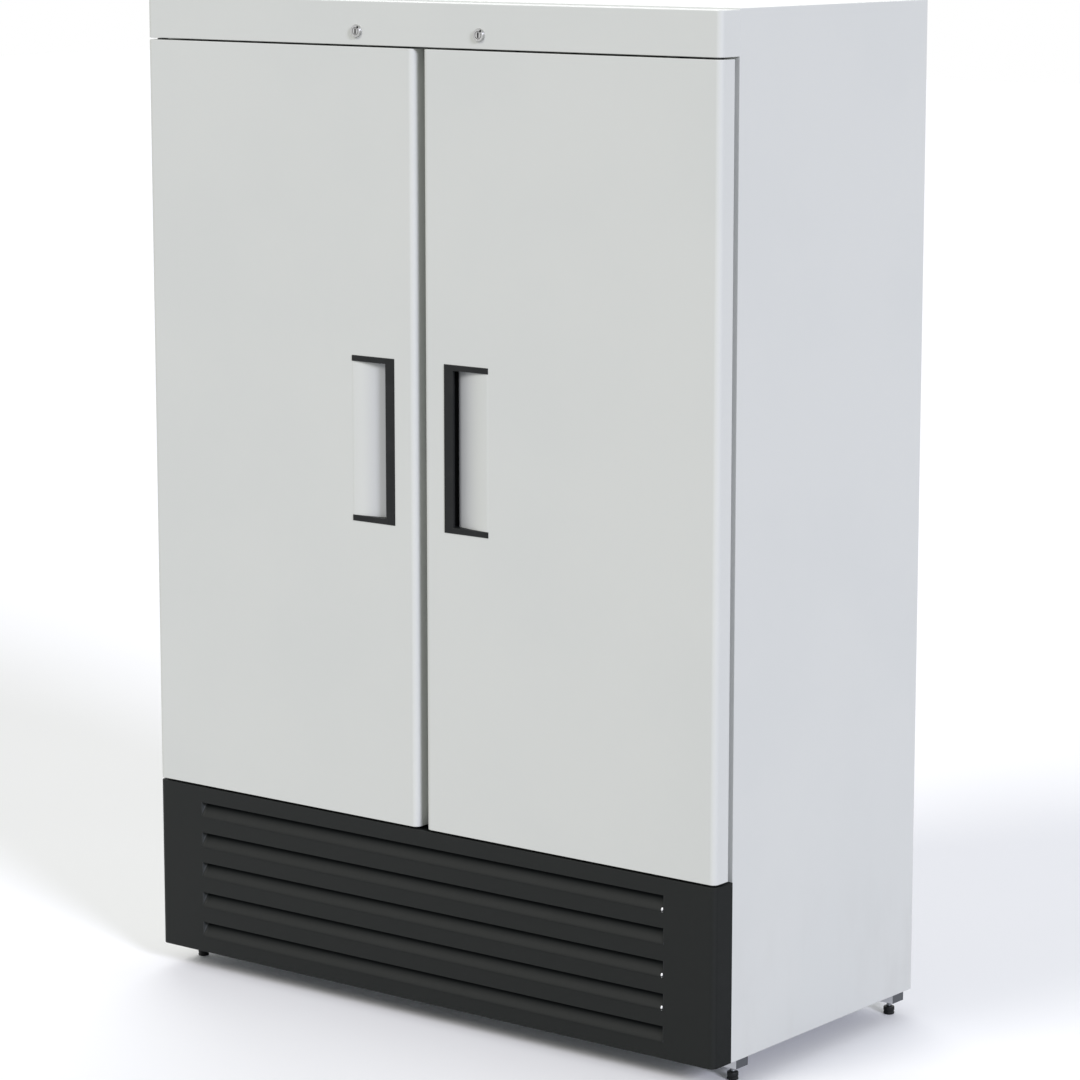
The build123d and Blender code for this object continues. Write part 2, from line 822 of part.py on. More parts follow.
def finned_coil(x0, x1, d0, d1, h0, h1, spine, fin, pitch):
    # Coil as upright fins across the air's way, held by the tube plane in the middle.
    coil = block(x0, x1, d0, d1, h0, h1)
    gaps = int((x1 - x0 - fin) // pitch)
    step = (x1 - x0 - fin) / gaps
    middle = (d0 + d1) / 2
    for gap in range(gaps):
        start = x0 + fin + gap * step
        end = start + step - fin
        for near, far in ((d0 - overrun, middle - spine / 2), (middle + spine / 2, d1 + overrun)):
            coil -= block(start, end, near, far, h0 - overrun, h1 + overrun)
    return coil


cooler_fan_hub_radius = 16.0
cooler_fan_chord = 34.0
cooler_fan_blades = 5
fan_pitch = 26.0
blade_sheet = 1.6
shaft_radius = 3.0
shaft_length = 16.0
coil_spine = 6.0
coil_fin = 2.0
cooler_coil_pitch = 30.0


def make_cooler():
    housing = block(-cooler_half, cooler_half, cooler_front, cooler_back, cooler_bottom, ceiling)
    housing -= block(
        cooler_sheet - cooler_half, cooler_half - cooler_sheet, cooler_front + cooler_sheet,
        cooler_back - cooler_sheet, cooler_bottom + cooler_sheet, ceiling + overrun,
    )
    mouth_radius = cooler_fan_radius + cooler_fan_play
    for side in (-1, 1):
        housing -= spindle(
            side * cooler_fan_x, cooler_axis, cooler_front - overrun, cooler_front + overrun,
            mouth_radius, large_sides,
        )
        end_face = side * cooler_half
        for slot in range(grille_slots):
            level = cooler_bottom + grille_pitch * (slot + 1)
            housing -= block(
                end_face - overrun, end_face + overrun, cooler_coil_front, cooler_back - grille_slot_margin,
                level, level + grille_slot_height,
            )
    spigot_end = cooler_bottom - spigot_length
    spigot = post(drain_x, drain_depth, spigot_end, cooler_bottom, spigot_radius, stem_sides)
    through = post(
        drain_x, drain_depth, spigot_end - overrun, cooler_bottom + overrun, drain_bore, stem_sides
    )
    hose_seat = post(
        drain_x, drain_depth, spigot_end - overrun, cooler_bottom - cooler_sheet,
        drain_radius + fit_clearance, stem_sides,
    )
    keep("evaporator_housing", housing + spigot - through - hose_seat)
    coil_half = cooler_half - cooler_coil_side_gap
    coil_low = cooler_bottom + cooler_sheet + cooler_coil_floor_gap
    coil = finned_coil(
        -coil_half, coil_half, cooler_coil_front, cooler_coil_back, coil_low, ceiling,
        coil_spine, coil_fin, cooler_coil_pitch,
    )
    keep("evaporator_coil", coil)
    fan_start = cooler_front + cooler_fan_setback
    rotor = fan(
        cooler_fan_blades, cooler_fan_radius, cooler_fan_hub_radius, cooler_fan_depth, cooler_fan_chord,
        fan_pitch, blade_sheet, shaft_radius, shaft_length,
    )
    face_back = Rot(-90, 0, 0)
    middle = y_at(fan_start + cooler_fan_depth / 2)
    right_fan = Pos(cooler_fan_x, middle, z_at(cooler_axis)) * face_back * rotor
    keep("evaporator_fan_right", right_fan)
    keep("evaporator_fan_left", Pos(-2 * cooler_fan_x, 0, 0) * right_fan)
    motor_start = fan_start + cooler_fan_depth + cooler_motor_gap
    motor_end = motor_start + cooler_motor_length
    motor = spindle(cooler_fan_x, cooler_axis, motor_start, motor_end, cooler_motor_radius, stem_sides)
    motor += block(
        cooler_fan_x - cooler_arm / 2, cooler_fan_x + cooler_arm / 2, motor_end - cooler_arm, motor_end,
        cooler_bottom + cooler_sheet, ceiling,
    )
    motor -= spindle(
        cooler_fan_x, cooler_axis, motor_start - overrun, motor_start + shaft_length,
        shaft_radius + running_clearance,
    )
    keep("evaporator_fan_motors", both(motor))


# Machinery in the base
pan_sheet = 2.0
pan_wall = 25.0
rear_panel_inset = 17.0
rear_slot_columns = 4
rear_slot_height = 8.0
rear_slot_pitch = 24.0
rear_slot_gap = 46.0
rear_slot_side = 70.0
rear_slot_low = 44.0
rear_slot_top_margin = 50.0
rear_flange = 14.0
gland_wall_gap = 115.0
gland_height = 90.0
gland_radius = 13.0
gland_dome_radius = 10.0
gland_bore = 4.5
gland_length = 13.0
gland_nut = 5.0
gland_chamfer = 2.5

rear_panel_depth = body_depth - rear_panel_inset
gland_x = gland_wall_gap - inner_half

condenser_width_share = 0.580153
condenser_wall_gap = 95.0
condenser_front_gap = 39.5
condenser_thickness = 50.0
condenser_low = 30.0
condenser_top_gap = 40.0
condenser_pitch = 26.0
shroud_sheet = 3.0
shroud_collar = 3.0
shroud_collar_length = 53.0
shroud_play = 6.0
condenser_fan_share = 0.346
condenser_hub_radius = 24.0
condenser_fan_depth = 26.0
condenser_fan_gap = 10.0
condenser_fan_chord = 48.0
condenser_fan_blades = 5
condenser_motor_gap = 6.0
condenser_motor_length = 56.0
condenser_motor_radius = 34.0
motor_arm_width = 12.0
motor_arm_thickness = 4.0

condenser_width = inner_half * condenser_width_share
condenser_right = inner_half - condenser_wall_gap
condenser_left = condenser_right - condenser_width
condenser_front = front_depth + condenser_front_gap
condenser_back = condenser_front + condenser_thickness
condenser_high = floor_under - condenser_top_gap
condenser_fan_radius = (condenser_high - condenser_low) * condenser_fan_share
condenser_fan_start = condenser_back + condenser_fan_gap
condenser_motor_start = condenser_fan_start + condenser_fan_depth + condenser_motor_gap
shroud_collar_end = condenser_back + shroud_sheet + shroud_collar_length

compressor_place_share = 0.465649
compressor_front_gap = 263.5
compressor_radius = 82.0
compressor_low = 24.0
compressor_seam = 112.0
compressor_top = 196.0
compressor_shoulder = 26.0
compressor_dome_share = 0.5
seam_width = 5.0
seam_proud = 3.0
mount_plate = 4.0
mount_plate_x = 115.0
mount_plate_depth = 80.0
grommet_radius = 12.0
terminal_box = 42.0
terminal_low = 70.0
terminal_high = 150.0
stub_radius = 7.0
stub_length = 26.0

drier_radius = 15.0
drier_length = 120.0
drier_gap = 200.0
drier_setback = 100.0
drier_height = 60.0
pipe_radius = 4.0
pipe_sides = 6
shell_sides = 24
rubber_sides = 8
gland_sides = 12
pipe_bend = 16.0
pipe_run = 36.0

compressor_x = inner_half * (compressor_place_share - 1)
compressor_depth = front_depth + compressor_front_gap
drier_left = compressor_x + drier_gap
drier_depth = compressor_depth + drier_setback

tray_width = 320.0
tray_length = 166.0
tray_left_reach = 162.0
tray_back_gap = 9.0
tray_height = 42.0
tray_wall = 2.0

box_width = 160.0
box_length = 140.0
box_wall_gap = 20.0
box_back_gap = 15.0
box_height = 120.0
box_corner = 6.0
box_feet = 12.0
box_foot_inset = 14.0
box_foot_radius = 8.0


def pipe(points):
    # Copper pipe through the given places; each corner is cut by a slanted piece.
    places = [Vector(x, y_at(depth), z_at(height)) for x, depth, height in points]
    route = [places[0]]
    for before, corner, after in zip(places, places[1:], places[2:]):
        route.append(corner + (before - corner).normalized() * pipe_bend)
        route.append(corner + (after - corner).normalized() * pipe_bend)
    route.append(places[-1])
    path = Polyline(*route)
    start = Plane(origin=path @ 0, z_dir=path % 0)
    section = start * RegularPolygon(pipe_radius, pipe_sides)
    return sweep(section, path=path, transition=Transition.RIGHT)


def compressor():
    # Welded can with two domes, on a plate with grommets, with its terminal box and two stubs.
    # Three tiers stand for its pan, its wall and its crown; the seam's ring goes round the wall.
    shoulder = compressor_shoulder * compressor_dome_share
    tiers = (
        (compressor_low, compressor_top, compressor_radius - 2 * shoulder),
        (compressor_low + shoulder, compressor_top - shoulder, compressor_radius - shoulder),
        (compressor_low + 2 * shoulder, compressor_top - 2 * shoulder, compressor_radius),
    )
    shell = [
        post(compressor_x, compressor_depth, low, high, radius, shell_sides) for low, high, radius in tiers
    ]
    shell = shell[0] + shell[1:]
    shell += post(
        compressor_x, compressor_depth, compressor_seam, compressor_seam + seam_width,
        compressor_radius + seam_proud, shell_sides,
    )
    plate_low = compressor_low - mount_plate
    shell += block(
        compressor_x - mount_plate_x, compressor_x + mount_plate_x, compressor_depth - mount_plate_depth,
        compressor_depth + mount_plate_depth, plate_low, compressor_low,
    )
    for side in (-1, 1):
        for end in (-1, 1):
            shell += post(
                compressor_x + side * (mount_plate_x - grommet_radius),
                compressor_depth + end * (mount_plate_depth - grommet_radius),
                pan_sheet, plate_low, grommet_radius, rubber_sides,
            )
    half_box = terminal_box / 2
    shell += block(
        compressor_x - half_box, compressor_x + half_box, compressor_depth - compressor_radius - half_box,
        compressor_depth - compressor_radius / 2, terminal_low, terminal_high,
    )
    reach = compressor_x + compressor_radius + stub_length
    for rise in (stub_length, -stub_length):
        shell += rail(compressor_x, reach, compressor_depth, compressor_seam + rise, stub_radius, pipe_sides)
    return shell


def finned_condenser():
    return finned_coil(
        condenser_left, condenser_right, condenser_front, condenser_back, condenser_low, condenser_high,
        coil_spine, coil_fin, condenser_pitch,
    )


def make_condenser():
    keep("condenser_coil", finned_condenser())
    axis_x = (condenser_left + condenser_right) / 2
    axis_height = (condenser_low + condenser_high) / 2
    mouth = condenser_fan_radius + shroud_play
    plate_end = condenser_back + shroud_sheet
    shroud = block(condenser_left, condenser_right, condenser_back, plate_end, pan_sheet, condenser_high)
    shroud += spindle(
        axis_x, axis_height, plate_end, shroud_collar_end, mouth + shroud_collar, large_sides
    )
    shroud -= spindle(
        axis_x, axis_height, condenser_back - overrun, shroud_collar_end + overrun, mouth, large_sides
    )
    keep("fan_shroud", shroud)
    motor_end = condenser_motor_start + condenser_motor_length
    motor = spindle(
        axis_x, axis_height, condenser_motor_start, motor_end, condenser_motor_radius, shell_sides
    )
    arm_start = shroud_collar_end - motor_arm_thickness
    half_arm = motor_arm_width / 2
    for reach_x, reach_up in ((mouth, half_arm), (half_arm, mouth)):
        motor += block(
            axis_x - reach_x, axis_x + reach_x, arm_start, shroud_collar_end,
            axis_height - reach_up, axis_height + reach_up,
        )
    motor &= spindle(axis_x, axis_height, condenser_motor_start, motor_end, mouth, large_sides)
    motor -= spindle(
        axis_x, axis_height, condenser_motor_start - overrun, condenser_motor_start + shaft_length,
        shaft_radius + running_clearance,
    )
    keep("condenser_fan_motor", motor)
    rotor = fan(
        condenser_fan_blades, condenser_fan_radius, condenser_hub_radius, condenser_fan_depth,
        condenser_fan_chord, fan_pitch, blade_sheet, shaft_radius, shaft_length,
    )
    middle = y_at(condenser_fan_start + condenser_fan_depth / 2)
    keep("condenser_fan", Pos(axis_x, middle, z_at(axis_height)) * Rot(-90, 0, 0) * rotor)


def open_box(x0, x1, d0, d1, h0, h1, thickness):
    # Tray or pan with walls, open at the top.
    room = block(x0 + thickness, x1 - thickness, d0 + thickness, d1 - thickness, h0 + thickness, h1 + overrun)
    return block(x0, x1, d0, d1, h0, h1) - room


def rear_panel():
    rear = rear_panel_depth
    sheet_end = rear + panel_sheet
    panel = block(-inner_half, inner_half, rear, sheet_end, 0, floor_under)
    top_flange = floor_under - panel_sheet
    panel += block(-inner_half, inner_half, rear - rear_flange, rear, top_flange, floor_under)
    room = 2 * inner_half - 2 * rear_slot_side - rear_slot_gap * (rear_slot_columns - 1)
    slot_length = room / rear_slot_columns
    for column in range(rear_slot_columns):
        start = rear_slot_side - inner_half + column * (slot_length + rear_slot_gap)
        rows = int((floor_under - rear_slot_low - rear_slot_top_margin) // rear_slot_pitch) + 1
        for row in range(rows):
            level = rear_slot_low + row * rear_slot_pitch
            blocked = start - gland_radius < gland_x < start + slot_length + gland_radius
            if blocked and abs(level - gland_height) < rear_slot_pitch + gland_radius:
                continue
            panel -= block(
                start, start + slot_length, rear - overrun, sheet_end + overrun,
                level, level + rear_slot_height
            )
    return panel - spindle(
        gland_x, gland_height, rear - overrun, sheet_end + overrun, gland_dome_radius, gland_sides
    )


def cable_gland():
    start = rear_panel_depth + panel_sheet
    body = spindle(gland_x, gland_height, start, start + gland_nut, gland_radius, head_sides)
    body += spindle(
        gland_x, gland_height, rear_panel_depth, start + gland_length, gland_dome_radius, gland_sides
    )
    body = chamfer(body.faces().sort_by(Axis.Y)[-1].edges(), gland_chamfer)
    return body - spindle(
        gland_x, gland_height, rear_panel_depth - overrun, body_depth + overrun, gland_bore, gland_sides
    )


def make_pipes():
    stub_end = compressor_x + compressor_radius + stub_length
    upper_stub = compressor_seam + stub_length
    lower_stub = compressor_seam - stub_length
    coil_depth = (condenser_front + condenser_back) / 2
    hot_x = stub_end + pipe_run
    hot_line = pipe([
        (stub_end, compressor_depth, upper_stub), (hot_x, compressor_depth, upper_stub),
        (hot_x, coil_depth, upper_stub), (condenser_left, coil_depth, upper_stub),
    ])
    drier_right = drier_left + drier_length
    liquid_x = drier_right + pipe_run
    liquid_line = pipe([
        (drier_right, drier_depth, drier_height), (liquid_x, drier_depth, drier_height),
        (liquid_x, coil_depth, drier_height), (condenser_left, coil_depth, drier_height),
    ])
    riser_depth = back_inner - pipe_run
    outlet_x = drier_left - pipe_run
    cold_line = pipe([
        (drier_left, drier_depth, drier_height), (outlet_x, drier_depth, drier_height),
        (outlet_x, riser_depth, drier_height), (outlet_x, riser_depth, floor_under),
    ])
    suction_x = outlet_x - pipe_run / 2
    suction_line = pipe([
        (stub_end, compressor_depth, lower_stub), (suction_x, compressor_depth, lower_stub),
        (suction_x, riser_depth, lower_stub), (suction_x, riser_depth, floor_under),
    ])
    keep("refrigerant_pipes", Compound(children=[hot_line, liquid_line, cold_line, suction_line]))


def make_machinery():
    keep("base_pan", open_box(-inner_half, inner_half, front_depth, rear_panel_depth, 0, pan_wall, pan_sheet))
    keep("rear_vent_panel", rear_panel())
    keep("cable_gland", cable_gland())
    keep("compressor", compressor())
    make_condenser()
    drier_right = drier_left + drier_length
    drier = rail(drier_left, drier_right, drier_depth, drier_height, drier_radius, stem_sides)
    keep("filter_drier", drier)
    make_pipes()
    tray_left = drain_x - tray_left_reach
    tray_back = rear_panel_depth - tray_back_gap
    tray = open_box(
        tray_left, tray_left + tray_width, tray_back - tray_length, tray_back,
        pan_sheet, tray_height, tray_wall,
    )
    keep("evaporation_tray", tray)
    keep("drain_hose", drain_hose())
    keep("control_box", control_box())


def drain_hose():
    top = cooler_bottom - cooler_sheet
    low = tray_height - spigot_length
    return post(drain_x, drain_depth, low, top, drain_radius, stem_sides) - post(
        drain_x, drain_depth, low - overrun, top + overrun, drain_bore, stem_sides
    )


def control_box():
    low = pan_sheet + box_feet
    box_left = box_wall_gap - inner_half
    box_right = box_left + box_width
    box_back = rear_panel_depth - box_back_gap
    box_front = box_back - box_length
    case = block(box_left, box_right, box_front, box_back, low, low + box_height)
    case = fillet(case.edges().filter_by(Axis.Z), box_corner)
    for x in (box_left + box_foot_inset, box_right - box_foot_inset):
        for depth in (box_front + box_foot_inset, box_back - box_foot_inset):
            case += post(x, depth, pan_sheet, low, box_foot_radius, rubber_sides)
    return case


# Lamps behind the header
lamp_inner = 60.0
lamp_wall_gap = 54.0
lamp_height = 24.0
lamp_depth = 22.0
lamp_over_edge = 8.0
lamp_radius = 6.0


def make_lamps():
    low = header_bottom + lamp_over_edge
    lamp_outer = liner_half - lamp_wall_gap
    lamp = block(lamp_inner, lamp_outer, frame_back, frame_back + lamp_depth, low, low + lamp_height)
    rear_edges = lamp.edges().filter_by(Axis.X).sort_by(Axis.Y)[-2:]
    keep("interior_lamps", both(fillet(rear_edges, lamp_radius)))


def main():
    make_feet()
    make_cabinet()
    make_hinges()
    make_locks()
    make_fascia()
    make_louvre_panel()
    make_doors()
    make_shelving()
    make_cooler()
    make_machinery()
    make_lamps()
    os.makedirs("parts", exist_ok=True)
    for name, shape in nodes.items():
        export_step(shape, "parts/" + name + ".step")
    print(len(nodes), "nodes")


main()
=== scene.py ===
import json
import math
import bmesh
import bpy
import numpy as np
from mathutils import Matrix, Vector
from mathutils.geometry import tessellate_polygon

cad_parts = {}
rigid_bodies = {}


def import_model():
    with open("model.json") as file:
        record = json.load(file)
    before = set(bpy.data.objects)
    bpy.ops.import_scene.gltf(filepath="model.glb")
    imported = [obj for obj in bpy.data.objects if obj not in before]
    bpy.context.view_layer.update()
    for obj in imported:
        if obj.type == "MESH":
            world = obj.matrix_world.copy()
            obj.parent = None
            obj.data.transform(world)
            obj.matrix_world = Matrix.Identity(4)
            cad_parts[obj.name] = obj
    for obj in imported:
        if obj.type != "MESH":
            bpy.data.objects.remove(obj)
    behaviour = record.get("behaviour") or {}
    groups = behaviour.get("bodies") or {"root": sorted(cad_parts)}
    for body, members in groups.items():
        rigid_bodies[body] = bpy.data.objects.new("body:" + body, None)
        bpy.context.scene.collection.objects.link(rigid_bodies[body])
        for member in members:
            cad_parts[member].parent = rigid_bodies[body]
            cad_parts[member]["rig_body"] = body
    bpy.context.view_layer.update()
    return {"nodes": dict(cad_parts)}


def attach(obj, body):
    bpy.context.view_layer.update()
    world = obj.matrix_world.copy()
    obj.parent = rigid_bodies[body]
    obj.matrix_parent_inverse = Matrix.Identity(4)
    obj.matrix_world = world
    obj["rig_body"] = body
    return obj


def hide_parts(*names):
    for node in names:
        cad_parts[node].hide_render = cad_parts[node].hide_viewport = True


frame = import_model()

nodes = frame["nodes"]
bodyOf = {name: node["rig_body"] for name, node in nodes.items()}

# the scene is in metres, and mm turns the fridge maker's millimetres into them
mm = 0.001
doorPlane = -333.5 * mm      # y of the door fronts
footHeight = 45 * mm         # z of the underside of the side walls
pole = 0.01                  # radius in mm at which a turned form closes


def placed(points):
    # from x, depth behind the door fronts and height over the side walls' underside, in mm, to the scene
    return np.asarray(points, float) * mm + np.array([0, doorPlane, footHeight])


def at(x, depth, height):
    return placed((x, depth, height))


def fitted(thing, **settings):
    for key, value in settings.items():
        setattr(thing, key, value)
    return thing


# shader maths

class Value:
    # one output socket; sums and products with it add Math nodes
    def __init__(self, finish, socket):
        self.finish = finish
        self.socket = socket

    def maths(self, operation, first, second):
        return self.finish.add("Math", {0: first, 1: second}, operation=operation)

    def __add__(self, other):
        return self.maths("ADD", self, other)

    def __rsub__(self, other):
        return self.maths("SUBTRACT", other, self)

    def __mul__(self, other):
        return self.maths("MULTIPLY", self, other)

    __radd__ = __add__
    __rmul__ = __mul__

    def larger(self, other):
        return self.maths("MAXIMUM", self, other)

    def stepUp(self, start, end):
        # 0 below start, 1 above end, smooth between
        return self.finish.add("MapRange", {0: self, 1: start, 2: end}, interpolation_type="SMOOTHSTEP")

    def eitherWay(self, start, end):
        # the same for a value and for its negative
        return (self * self).stepUp(start ** 2, end ** 2)


class Finish:
    # the nodes of one material, or of the world
    def __init__(self, name, kind="Material"):
        self.kind = kind
        self.made = (bpy.data.worlds if kind == "World" else bpy.data.materials).new(name)
        self.made.use_nodes = True
        self.tree = self.made.node_tree
        self.tree.nodes.clear()

    def add(self, kind, sockets=None, output=0, **settings):
        # the one place where nodes are made; sockets get a number or a link
        node = fitted(self.tree.nodes.new("ShaderNode" + kind), **settings)
        for key, value in (sockets or {}).items():
            if isinstance(value, Value):
                self.tree.links.new(value.socket, node.inputs[key])
            else:
                node.inputs[key].default_value = value
        return Value(self, node.outputs[output]) if len(node.outputs) else None

    def spot(self):
        # the place in metres
        return self.add("TexCoord", output="Object")

    def part(self, letter, vector=None):
        # X, Y or Z of a vector, or else of the place
        return self.add("SeparateXYZ", {"Vector": vector or self.spot()}, output=letter)

    def facing(self):
        return self.add("NewGeometry", output="Normal")

    def noise(self, scale, detail=2.0, roughness=0.5, stretch=(1, 1, 1)):
        stretched = self.add("Mapping", {"Vector": self.spot(), "Scale": stretch})
        sockets = {"Vector": stretched, "Scale": scale, "Detail": detail, "Roughness": roughness}
        return self.add("TexNoise", sockets)

    def mix(self, share, first, second):
        # a colour of three numbers is a tone, and one of four stays as it is
        first, second = (tone(c) if isinstance(c, tuple) and len(c) == 3 else c for c in (first, second))
        return self.add("Mix", {0: share, 6: first, 7: second}, 2, data_type="RGBA")

    def shown(self, shader):
        self.add("Output" + self.kind, {"Surface": shader})
        return self.made

    def done(self, look, colour, roughness, relief=None, **varying):
        # what is steady comes from the look, and the relief is bumped as the look says
        filled = {"Base Color": colour, "Roughness": roughness, **varying}
        filled.update((steadySockets[key], look[key]) for key in steadySockets if key in look)
        if relief is not None:
            height, strength = look["bump"]
            bump = {"Height": relief, "Distance": height * mm, "Strength": strength}
            filled["Normal"] = self.add("Bump", bump)
        return self.shown(self.add("BsdfPrincipled", filled))


steadySockets = {
    "metallic": "Metallic", "specular": "Specular IOR Level", "coat": "Coat Weight",
    "coatRoughness": "Coat Roughness", "glow": "Emission Color", "glowStrength": "Emission Strength",
}


def tone(colour):
    # a colour of 0 to 255 on the sRGB curve, as the shader wants it
    shares = np.array(colour) / 255
    return (*np.where(shares <= 0.04045, shares / 12.92, ((shares + 0.055) / 1.055) ** 2.4).tolist(), 1.0)


# finishes; a noise is its scale, detail, roughness and stretch, and a bump its height in mm and strength

paintLook = dict(
    front=(214, 216, 211), cloudy=(207, 210, 206), foot=(196, 196, 190), scoopShade=(186, 188, 190),
    clouds=(2.6, 4, 0.55), cloudEdge=(0.38, 0.66), cloudShare=0.3,
    smudges=(9, 5, 0.6, (1, 1, 0.35)), smudgeEdge=(0.45, 0.75), smudgeShare=0.3,
    lowEdge=(0.04, 0.42), scoopEdge=(0.0842, 0.150), scoopShadeShare=0.8, scoopShadeMottle=0.3,
    peel=(420, 1, 0.4), bump=(0.03, 0.6), roughness=0.28, spread=0.12, coat=0.12, coatRoughness=0.2,
)


def whitePaint(inScoop=False):
    # powder coat: faint clouds, a little grime low down, orange peel
    look = paintLook
    finish = Finish("scoopPowderCoat" if inScoop else "whitePowderCoat")
    clouds = finish.noise(*look["clouds"]).stepUp(*look["cloudEdge"])
    smudges = finish.noise(*look["smudges"])
    grime = (1 - finish.part("Z").stepUp(*look["lowEdge"])) * smudges.stepUp(*look["smudgeEdge"])
    colour = finish.mix(clouds * look["cloudShare"], look["front"], look["cloudy"])
    colour = finish.mix(grime * look["smudgeShare"], colour, look["foot"])
    if inScoop:
        # painted shade in the scoop: darker towards the grip, mottled a little by the smudge noise
        near = 1 - finish.part("X").eitherWay(*look["scoopEdge"])
        colour = finish.mix(near * (smudges * look["scoopShadeMottle"] + look["scoopShadeShare"]), colour, look["scoopShade"])
    peel = finish.noise(*look["peel"])
    return finish.done(look, colour, smudges * look["spread"] + look["roughness"], peel)


charcoalLook = dict(
    face=(25, 27, 26), worn=(33, 35, 33), dust=(60, 61, 59), recessShade=(21, 24, 25), litEnd=(62, 65, 64),
    clouds=(5, 4, 0.6), wornShare=0.5,
    specks=(60, 5, 0.65), speckEdge=(0.3, 0.75), upEdge=(0.25, 0.95), dustShare=0.15,
    recessShadeEdge=(3.0, 14.0), recessShadeShare=0.95, recessShadeMetal=0.9, recessShadeRough=0.2, sideReturnShade=0.5,
    endEdge=(0.25, 0.8), sideEdge=(0.60, 0.65), litEndShare=0.8,
    grain=(900, 2, 0.5), bump=(0.05, 0.7), roughness=0.46, spread=0.12, specular=0.18,
)


def charcoalPaint():
    # dark base panel: fine leather grain, a little dust on what faces up, and painted shade that deepens with
    # the depth behind the front, half as strong on the side returns; the scoops' ends are painted lighter, as
    # lit
    look = charcoalLook
    finish = Finish("charcoalPowderCoat")
    clouds = finish.noise(*look["clouds"])
    facing = finish.facing()
    dust = finish.part("Z", facing).stepUp(*look["upEdge"])
    dust = dust * finish.noise(*look["specks"]).stepUp(*look["speckEdge"])
    colour = finish.mix(clouds * look["wornShare"], look["face"], look["worn"])
    colour = finish.mix(dust * look["dustShare"], colour, look["dust"])
    inside = 1 - finish.part("X").eitherWay(*look["sideEdge"])
    sideways = finish.part("X", facing)
    # painted light: the scoops' end walls, which face sideways, are painted lighter as lit and kept out of
    # the painted shade
    litScoopEnds = (sideways * sideways).stepUp(*look["endEdge"]) * inside
    # painted shade: darker, rougher and more metallic with the depth behind the front, which dims its
    # reflection too
    shadeStart, shadeFull = (doorPlane + depth * mm for depth in look["recessShadeEdge"])
    recessShade = finish.part("Y").stepUp(shadeStart, shadeFull) * (1 - litScoopEnds)
    recessShade = recessShade * (inside * (1 - look["sideReturnShade"]) + look["sideReturnShade"])
    colour = finish.mix(recessShade * look["recessShadeShare"], colour, look["recessShade"])
    colour = finish.mix(litScoopEnds * look["litEndShare"], colour, look["litEnd"])
    roughness = clouds * look["spread"] + look["roughness"] + recessShade * look["recessShadeRough"]
    grain = finish.noise(*look["grain"])
    return finish.done(look, colour, roughness, grain, Metallic=recessShade * look["recessShadeMetal"])


zincLook = dict(
    light=(186, 190, 193), dark=(160, 165, 170), stain=(138, 140, 140),
    spangle=85.0, darkShare=0.8, stains=(7, 4), stainEdge=(0.55, 0.8), stainShare=0.4,
    metallic=0.9, roughness=0.34, spread=0.16, bump=(0.01, 0.5),
)


def zincSteel():
    # galvanised sheet: each crystal of the spangle has its own shade, under a few stains
    look = zincLook
    finish = Finish("galvanisedSteel")
    spangle = finish.add("TexVoronoi", {"Vector": finish.spot(), "Scale": look["spangle"]}, output="Color")
    shade = finish.part("X", spangle)
    stains = finish.noise(*look["stains"]).stepUp(*look["stainEdge"])
    colour = finish.mix(shade * look["darkShare"], look["light"], look["dark"])
    colour = finish.mix(stains * look["stainShare"], colour, look["stain"])
    return finish.done(look, colour, shade * look["spread"] + look["roughness"], shade)


bracketLook = dict(
    light=(240, 241, 241), rolled=(214, 216, 217), side=(88, 91, 93),
    marks=(40, 4, 0.6, (1, 1, 5)), markShare=0.4, sideEdge=(0.3, 0.9),
    metallic=0.2, specular=0.3, roughness=0.45, spread=0.15, bump=(0.03, 0.4),
)


def bracketSteel():
    # folded foot bracket with painted light and shade: the front is painted near white to look lit, and the
    # faces that look sideways are painted dark as shaded
    look = bracketLook
    finish = Finish("bracketSteel")
    sideways = finish.part("X", finish.facing())
    marks = finish.noise(*look["marks"])
    colour = finish.mix(marks * look["markShare"], look["light"], look["rolled"])
    # painted shade on the faces that look sideways
    colour = finish.mix((sideways * sideways).stepUp(*look["sideEdge"]), colour, look["side"])
    return finish.done(look, colour, marks * look["spread"] + look["roughness"], marks)


def plain(name, pattern, tones, roughness, bump, grain=None, edge=None, toneEdge=None, share=None, **steady):
    # a pattern carries the colour from one tone to the other and adds to the roughness; edge sharpens it,
    # toneEdge and share sharpen and thin only its colour, and the relief is the grain's or else its own
    finish = Finish(name)
    pattern = finish.noise(*pattern)
    if edge:
        pattern = pattern.stepUp(*edge)
    shade = pattern.stepUp(*toneEdge) if toneEdge else pattern
    if share:
        shade = shade * share
    start, spread = roughness
    roughness = pattern * spread + start if spread else start
    relief = finish.noise(*grain) if grain else pattern
    return finish.done({"bump": bump, **steady}, finish.mix(shade, *tones), roughness, relief)


